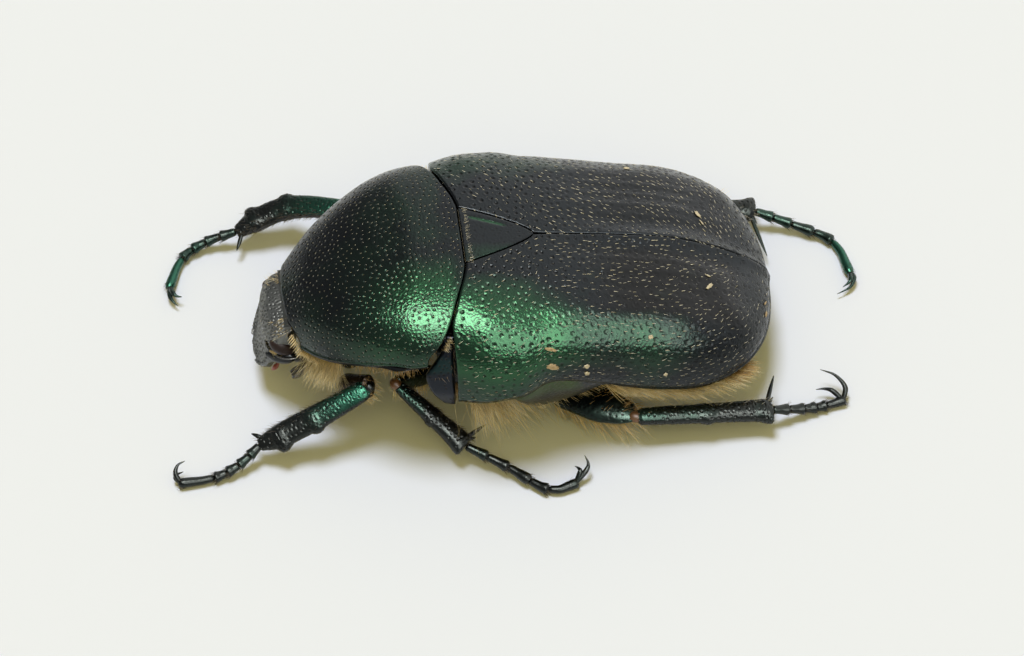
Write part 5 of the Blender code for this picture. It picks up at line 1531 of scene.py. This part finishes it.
def leg_coat(name, surfaces, seed):
    """Bristles and hair of one leg."""
    pair = name.split("_")[0]
    hip, knee, ankle, outer = (np.array(LEGS[name][key]) for key in ("hip", "knee", "ankle", "outer"))
    sheet, height = surfaces["femur"]
    down = np.clip(-sheet.normals[..., 2] + 0.15, 0, 1)
    lie = unit(unit(knee - hip) * 0.6 + np.array([0.35, 0.0, -0.75]))
    long, count = (1.35, 700) if pair == "hind" else (0.55, 420)
    grow("hair_thigh_" + name, sheet, down, count, lie, long, 0.028, GOLD_HAIR, seed, 0.24, 0.55, -0.1, 5,
         height, False, 0.5)
    if pair in THIGH_TOP:
        upper = np.clip(sheet.normals[..., 2], 0, 1)
        grow("hair_thigh_top_" + name, sheet, upper, seed=seed + 15, height=height, **THIGH_TOP[pair])
    sheet, height = surfaces["tibia"]
    lie = unit(ankle - knee)
    inner = np.clip(0.2 - sheet.normals @ unit(outer), 0, 1) ** 2
    finish = BROWN_HAIR if pair != "hind" else PALE_HAIR
    grow("hair_shin_" + name, sheet, inner, 300, lie, 0.34, 0.022, finish, seed + 2, 0.15, 0.55, 0.0, 4,
         height, False)
    grow("hair_shin_short_" + name, sheet, np.ones(sheet.area.shape), 420, lie, 0.13, 0.018, BROWN_HAIR,
         seed + 4, 0.12, 0.45, -0.1, 3, height, False)
    for n, tube in enumerate(surfaces["foot"]):
        sheet = ring_sheet(tube)
        lie = unit(tube[-1].mean(0) - tube[0].mean(0))
        rows = np.linspace(0, 1, sheet.area.shape[0])[:, None]
        end = smooth(0.6, 0.8, rows) * (1 - smooth(0.9, 0.95, rows)) * np.ones(sheet.area.shape)
        low = end * np.clip(0.35 - sheet.normals[..., 2], 0, 1)
        grow("bristles_%s_%d" % (name, n), sheet, end * 0.25 + low, 34, lie, 0.26, 0.024, BROWN_HAIR,
             seed + 6 + n, 0.12, 0.55, 0.0, 3, None, False)


def placed_uv(roots):
    """Coat-map places for hairs set one by one, from where their roots lie along and across the body."""
    low, high = COAT_SPAN
    return np.stack([(roots[:, 0] - low) / (high - low), 0.5 + roots[:, 1] / (high - low)], 1)


def hair_row(name, side, draw, count, ends, ways, out, jitter, length, width, finish, seed, bend, sides=3,
             steps=5, spread=0.16, even=False):
    """A row of hairs from one end to the other, with their ways mixed between those of the ends."""
    turn = np.array([1.0, side, 1.0])
    f = (np.linspace(0, 1, count) if even else draw.random(count))[:, None]
    roots = (mix(*map(np.array, ends), f) + draw.normal(0, 1, (count, 3)) * jitter) * turn
    way = mix(*map(np.array, ways), f) * turn + draw.normal(0, spread, (count, 3))
    normals = np.tile(np.array(out) * turn, (count, 1))
    lengths = draw.uniform(*length, count)
    strands(name, roots, way, normals, lengths, width, finish, seed, placed_uv(roots), bend, sides, steps)


def face_hairs(head_sheet, head_height):
    """Hair of the face: pale hairs forward over the brow, a comb behind each eye, and a tuft before it."""
    y, z = np.abs(head_sheet.points[..., 1]), head_sheet.points[..., 2]
    crown = smooth(4.2, 4.5, z) * smooth(0.7, 1.1, y)
    brow = smooth(3.3, 3.6, z) * (1 - smooth(4.5, 4.7, z))
    grow("hair_crown", head_sheet, crown, height=head_height, **CROWN_HAIR)
    grow("hair_face", head_sheet, brow, height=head_height, **FACE_HAIR)
    grow("hair_shield", head_sheet, (z < 3.6) * 1.0, height=head_height, **SHIELD_HAIR)
    draw = np.random.default_rng(231)
    for side, name in ((-1, "left"), (1, "right")):
        for kind, row in FACE_ROWS.items():
            hair_row(kind + name, side, draw, **row)


def plate_hairs():
    """Hair of the shoulder plates, the leaf plates and the joint between pronotum and scutellum."""
    for name in ("left", "right"):
        sheet, height = plates[name]
        z = sheet.points[..., 2]
        grow("hair_shoulder_" + name, sheet, smooth(5.0, 5.5, z), height=height, **SHOULDER_HAIR)
        sheet = coxae[name]
        low = 1 - smooth(0.0, 0.7, sheet.points[..., 2] - sheet.points[:, :1, 2])
        grow("hair_leaf_" + name, sheet, low, **LEAF_HAIR)
    draw = np.random.default_rng(251)
    count = 90
    y = np.linspace(-1.38, 1.38, count)
    roots = np.stack([np.full(count, 0.0), y, case_z(np.full(count, 0.1), y) - 0.10], 1)
    way = np.stack([np.full(count, 0.9), draw.normal(0, 0.15, count), draw.uniform(0.35, 0.6, count)], 1)
    strands("comb_scutellum", roots, way, np.tile([0.0, 0.0, 1.0], (count, 1)),
            draw.uniform(0.28, 0.42, count), 0.024, PALE_HAIR, 252, placed_uv(roots), bend=-0.2, steps=4)


def marks_of_scale():
    """The few cream and ochre spots of scurf left on the wing cases: small crusts with a ragged edge."""
    draw = np.random.default_rng(261)
    for n, (centre, length, width, turn, finish) in enumerate(SPOTS):
        sheet, height = cases["left" if centre[1] < 0 else "right"]
        gap = np.linalg.norm(sheet.points - np.array(centre), axis=-1)
        row, column = np.unravel_index(np.argmin(gap), gap.shape)
        normal, ahead = sheet.normals[row, column], sheet.along[row, column]
        aside = np.cross(normal, ahead)
        middle = sheet.points[row, column] + normal * height[row, column]
        rings, count = 5, 22
        angle = 2 * math.pi * np.arange(count) / count + turn
        ragged = 1 + draw.normal(0, 0.16, count)
        points = []
        for upper in (True, False):
            for r in np.linspace(1, 0.15, rings)[::1 if upper else -1]:
                u = r * ragged * np.cos(angle) * length / 2
                v = r * ragged * np.sin(angle - 2 * turn) * width / 2
                crust = 0.022 + 0.035 * (1 - r * r) ** 0.5
                rise = crust + draw.uniform(0.0, 0.012, count) if upper else np.full(count, -0.03)
                points.append(middle + ahead * u[:, None] + aside * v[:, None] + normal * rise[:, None])
        join_tubes("spot_%d" % n, [np.array(points)], finish)


# Camera, floor and light


def toward_sky(azimuth, elevation):
    """The way from the beetle to a place so many degrees round from the near side and up from the floor."""
    azimuth, elevation = math.radians(azimuth), math.radians(elevation)
    level = math.cos(elevation)
    return Vector((math.sin(azimuth) * level, -math.cos(azimuth) * level, math.sin(elevation)))


def set_camera():
    """The photo's camera."""
    back = toward_sky(VIEW_AZIMUTH, VIEW_ELEVATION)
    camera = bpy.data.objects.new("camera", bpy.data.cameras.new("camera"))
    bpy.context.scene.collection.objects.link(camera)
    camera.location = Vector(to_row(VIEW_TARGET)) + back * VIEW_DISTANCE * MM
    camera.rotation_euler = back.to_track_quat("Z", "Y").to_euler()
    camera.data.sensor_width = SENSOR_WIDTH
    camera.data.lens = PIXELS_PER_MM * VIEW_DISTANCE / PHOTO_WIDTH * SENSOR_WIDTH
    camera.data.clip_start = 0.01
    camera.data.clip_end = 20.0
    bpy.context.scene.camera = camera


def floor():
    """A plain pale floor."""
    made, _, _, shader = new_material("pale_floor")
    shader.inputs["Base Color"].default_value = (*FLOOR_COLOUR, 1.0)
    shader.inputs["Roughness"].default_value = 0.9
    shader.inputs["Specular IOR Level"].default_value = 0.0
    half = FLOOR_HALF_WIDTH
    mesh = bpy.data.meshes.new("floor")
    mesh.from_pydata([(-half, -half, 0), (half, -half, 0), (half, half, 0), (-half, half, 0)], [],
                     [(0, 1, 2, 3)])
    mesh.materials.append(made)
    plane = bpy.data.objects.new("floor", mesh)
    bpy.context.scene.collection.objects.link(plane)


def add_sun(name, azimuth, elevation, breadth, energy, matte, gloss, colour):
    """A sun that lights matte surfaces, gleams on glossy ones, or both."""
    lamp = bpy.data.objects.new(name, bpy.data.lights.new(name, "SUN"))
    lamp.rotation_euler = toward_sky(azimuth, elevation).to_track_quat("Z", "Y").to_euler()
    lamp.data.angle = math.radians(breadth)
    lamp.data.energy = energy
    lamp.data.color = colour
    lamp.visible_diffuse = matte
    lamp.visible_glossy = gloss
    bpy.context.scene.collection.objects.link(lamp)


def lights():
    """The suns, and a room that is dim but for its bright side, and tints the shade."""
    for sun in SUNS:
        add_sun(*sun)
    world = bpy.data.worlds.new("world")
    world.use_nodes = True
    nodes, links = world.node_tree.nodes, world.node_tree.links
    background = nodes["Background"]
    place = add_node(nodes, "ShaderNodeTexCoord")
    toward = add_node(nodes, "ShaderNodeVectorMath", operation="DOT_PRODUCT")
    links.new(place.outputs["Generated"], toward.inputs[0])
    toward.inputs[1].default_value = ROOM_SHINE
    shine = add_node(nodes, "ShaderNodeMapRange", interpolation_type="SMOOTHSTEP")
    shine.inputs["From Min"].default_value = ROOM_SPAN[0]
    shine.inputs["From Max"].default_value = ROOM_SPAN[1]
    links.new(toward.outputs["Value"], shine.inputs["Value"])
    glossed = mix_colour(nodes, links, shine.outputs["Result"], ROOM_DIM, ROOM_BRIGHT)
    path = add_node(nodes, "ShaderNodeLightPath")
    tint = mix_colour(nodes, links, path.outputs["Is Diffuse Ray"], glossed, ROOM_MATTE)
    links.new(tint, background.inputs["Color"])
    background.inputs["Strength"].default_value = 1.0
    bpy.context.scene.world = world
    bpy.context.scene.view_settings.view_transform = "Standard"


set_camera()
floor()
lights()
cases = {}
for side, name in ((-1, "left"), (1, "right")):
    cases[name] = wing_case(side, name)
    sheet, height = cases[name]
    x, y = sheet.points[..., 0], np.abs(sheet.points[..., 1])
    i, j = sheet.scatter(0.19, 5200, 44 + side, 0.25 + smooth(2.0, 6.0, x) * (1 - smooth(10.6, 11.8, x)))
    surface_hairs("setae_" + name, sheet, height, i, j, 0.19, 0.040, PALE_HAIR, 41 + side,
                  outward=0.10 if side < 0 else -0.55, spread=0.14)
sheet, height, (i, j) = pronotum()
# pale hairs in the pronotum's pits, partly real setae and partly painted glints
surface_hairs("setae_and_painted_glints_pronotum", sheet, height, i, j, 0.058, 0.030, PALE_HAIR, 47, sink=0.0, lift=0.5)
scutellum()
prosternum_sheet = prosternum()
head_sheet, head_height = head()
thorax_sheet = thorax()
abdomen_sheet = abdomen()
tail_plate()
palps_and_mouth()
plates, coxae = {}, {}
for side, name in ((-1, "left"), (1, "right")):
    eye(side, name)
    canthus(side, name)
    feeler(side, name)
    plates[name] = side_plate(side, name)
    coxae[name] = hind_coxa(side, name)
leg_surfaces = {name: leg(name, 100 + 10 * n) for n, name in enumerate(LEGS)}
body_coat(prosternum_sheet, thorax_sheet, abdomen_sheet)
face_hairs(head_sheet, head_height)
plate_hairs()
marks_of_scale()
for n, name in enumerate(LEGS):
    leg_coat(name, leg_surfaces[name], 300 + 20 * n)
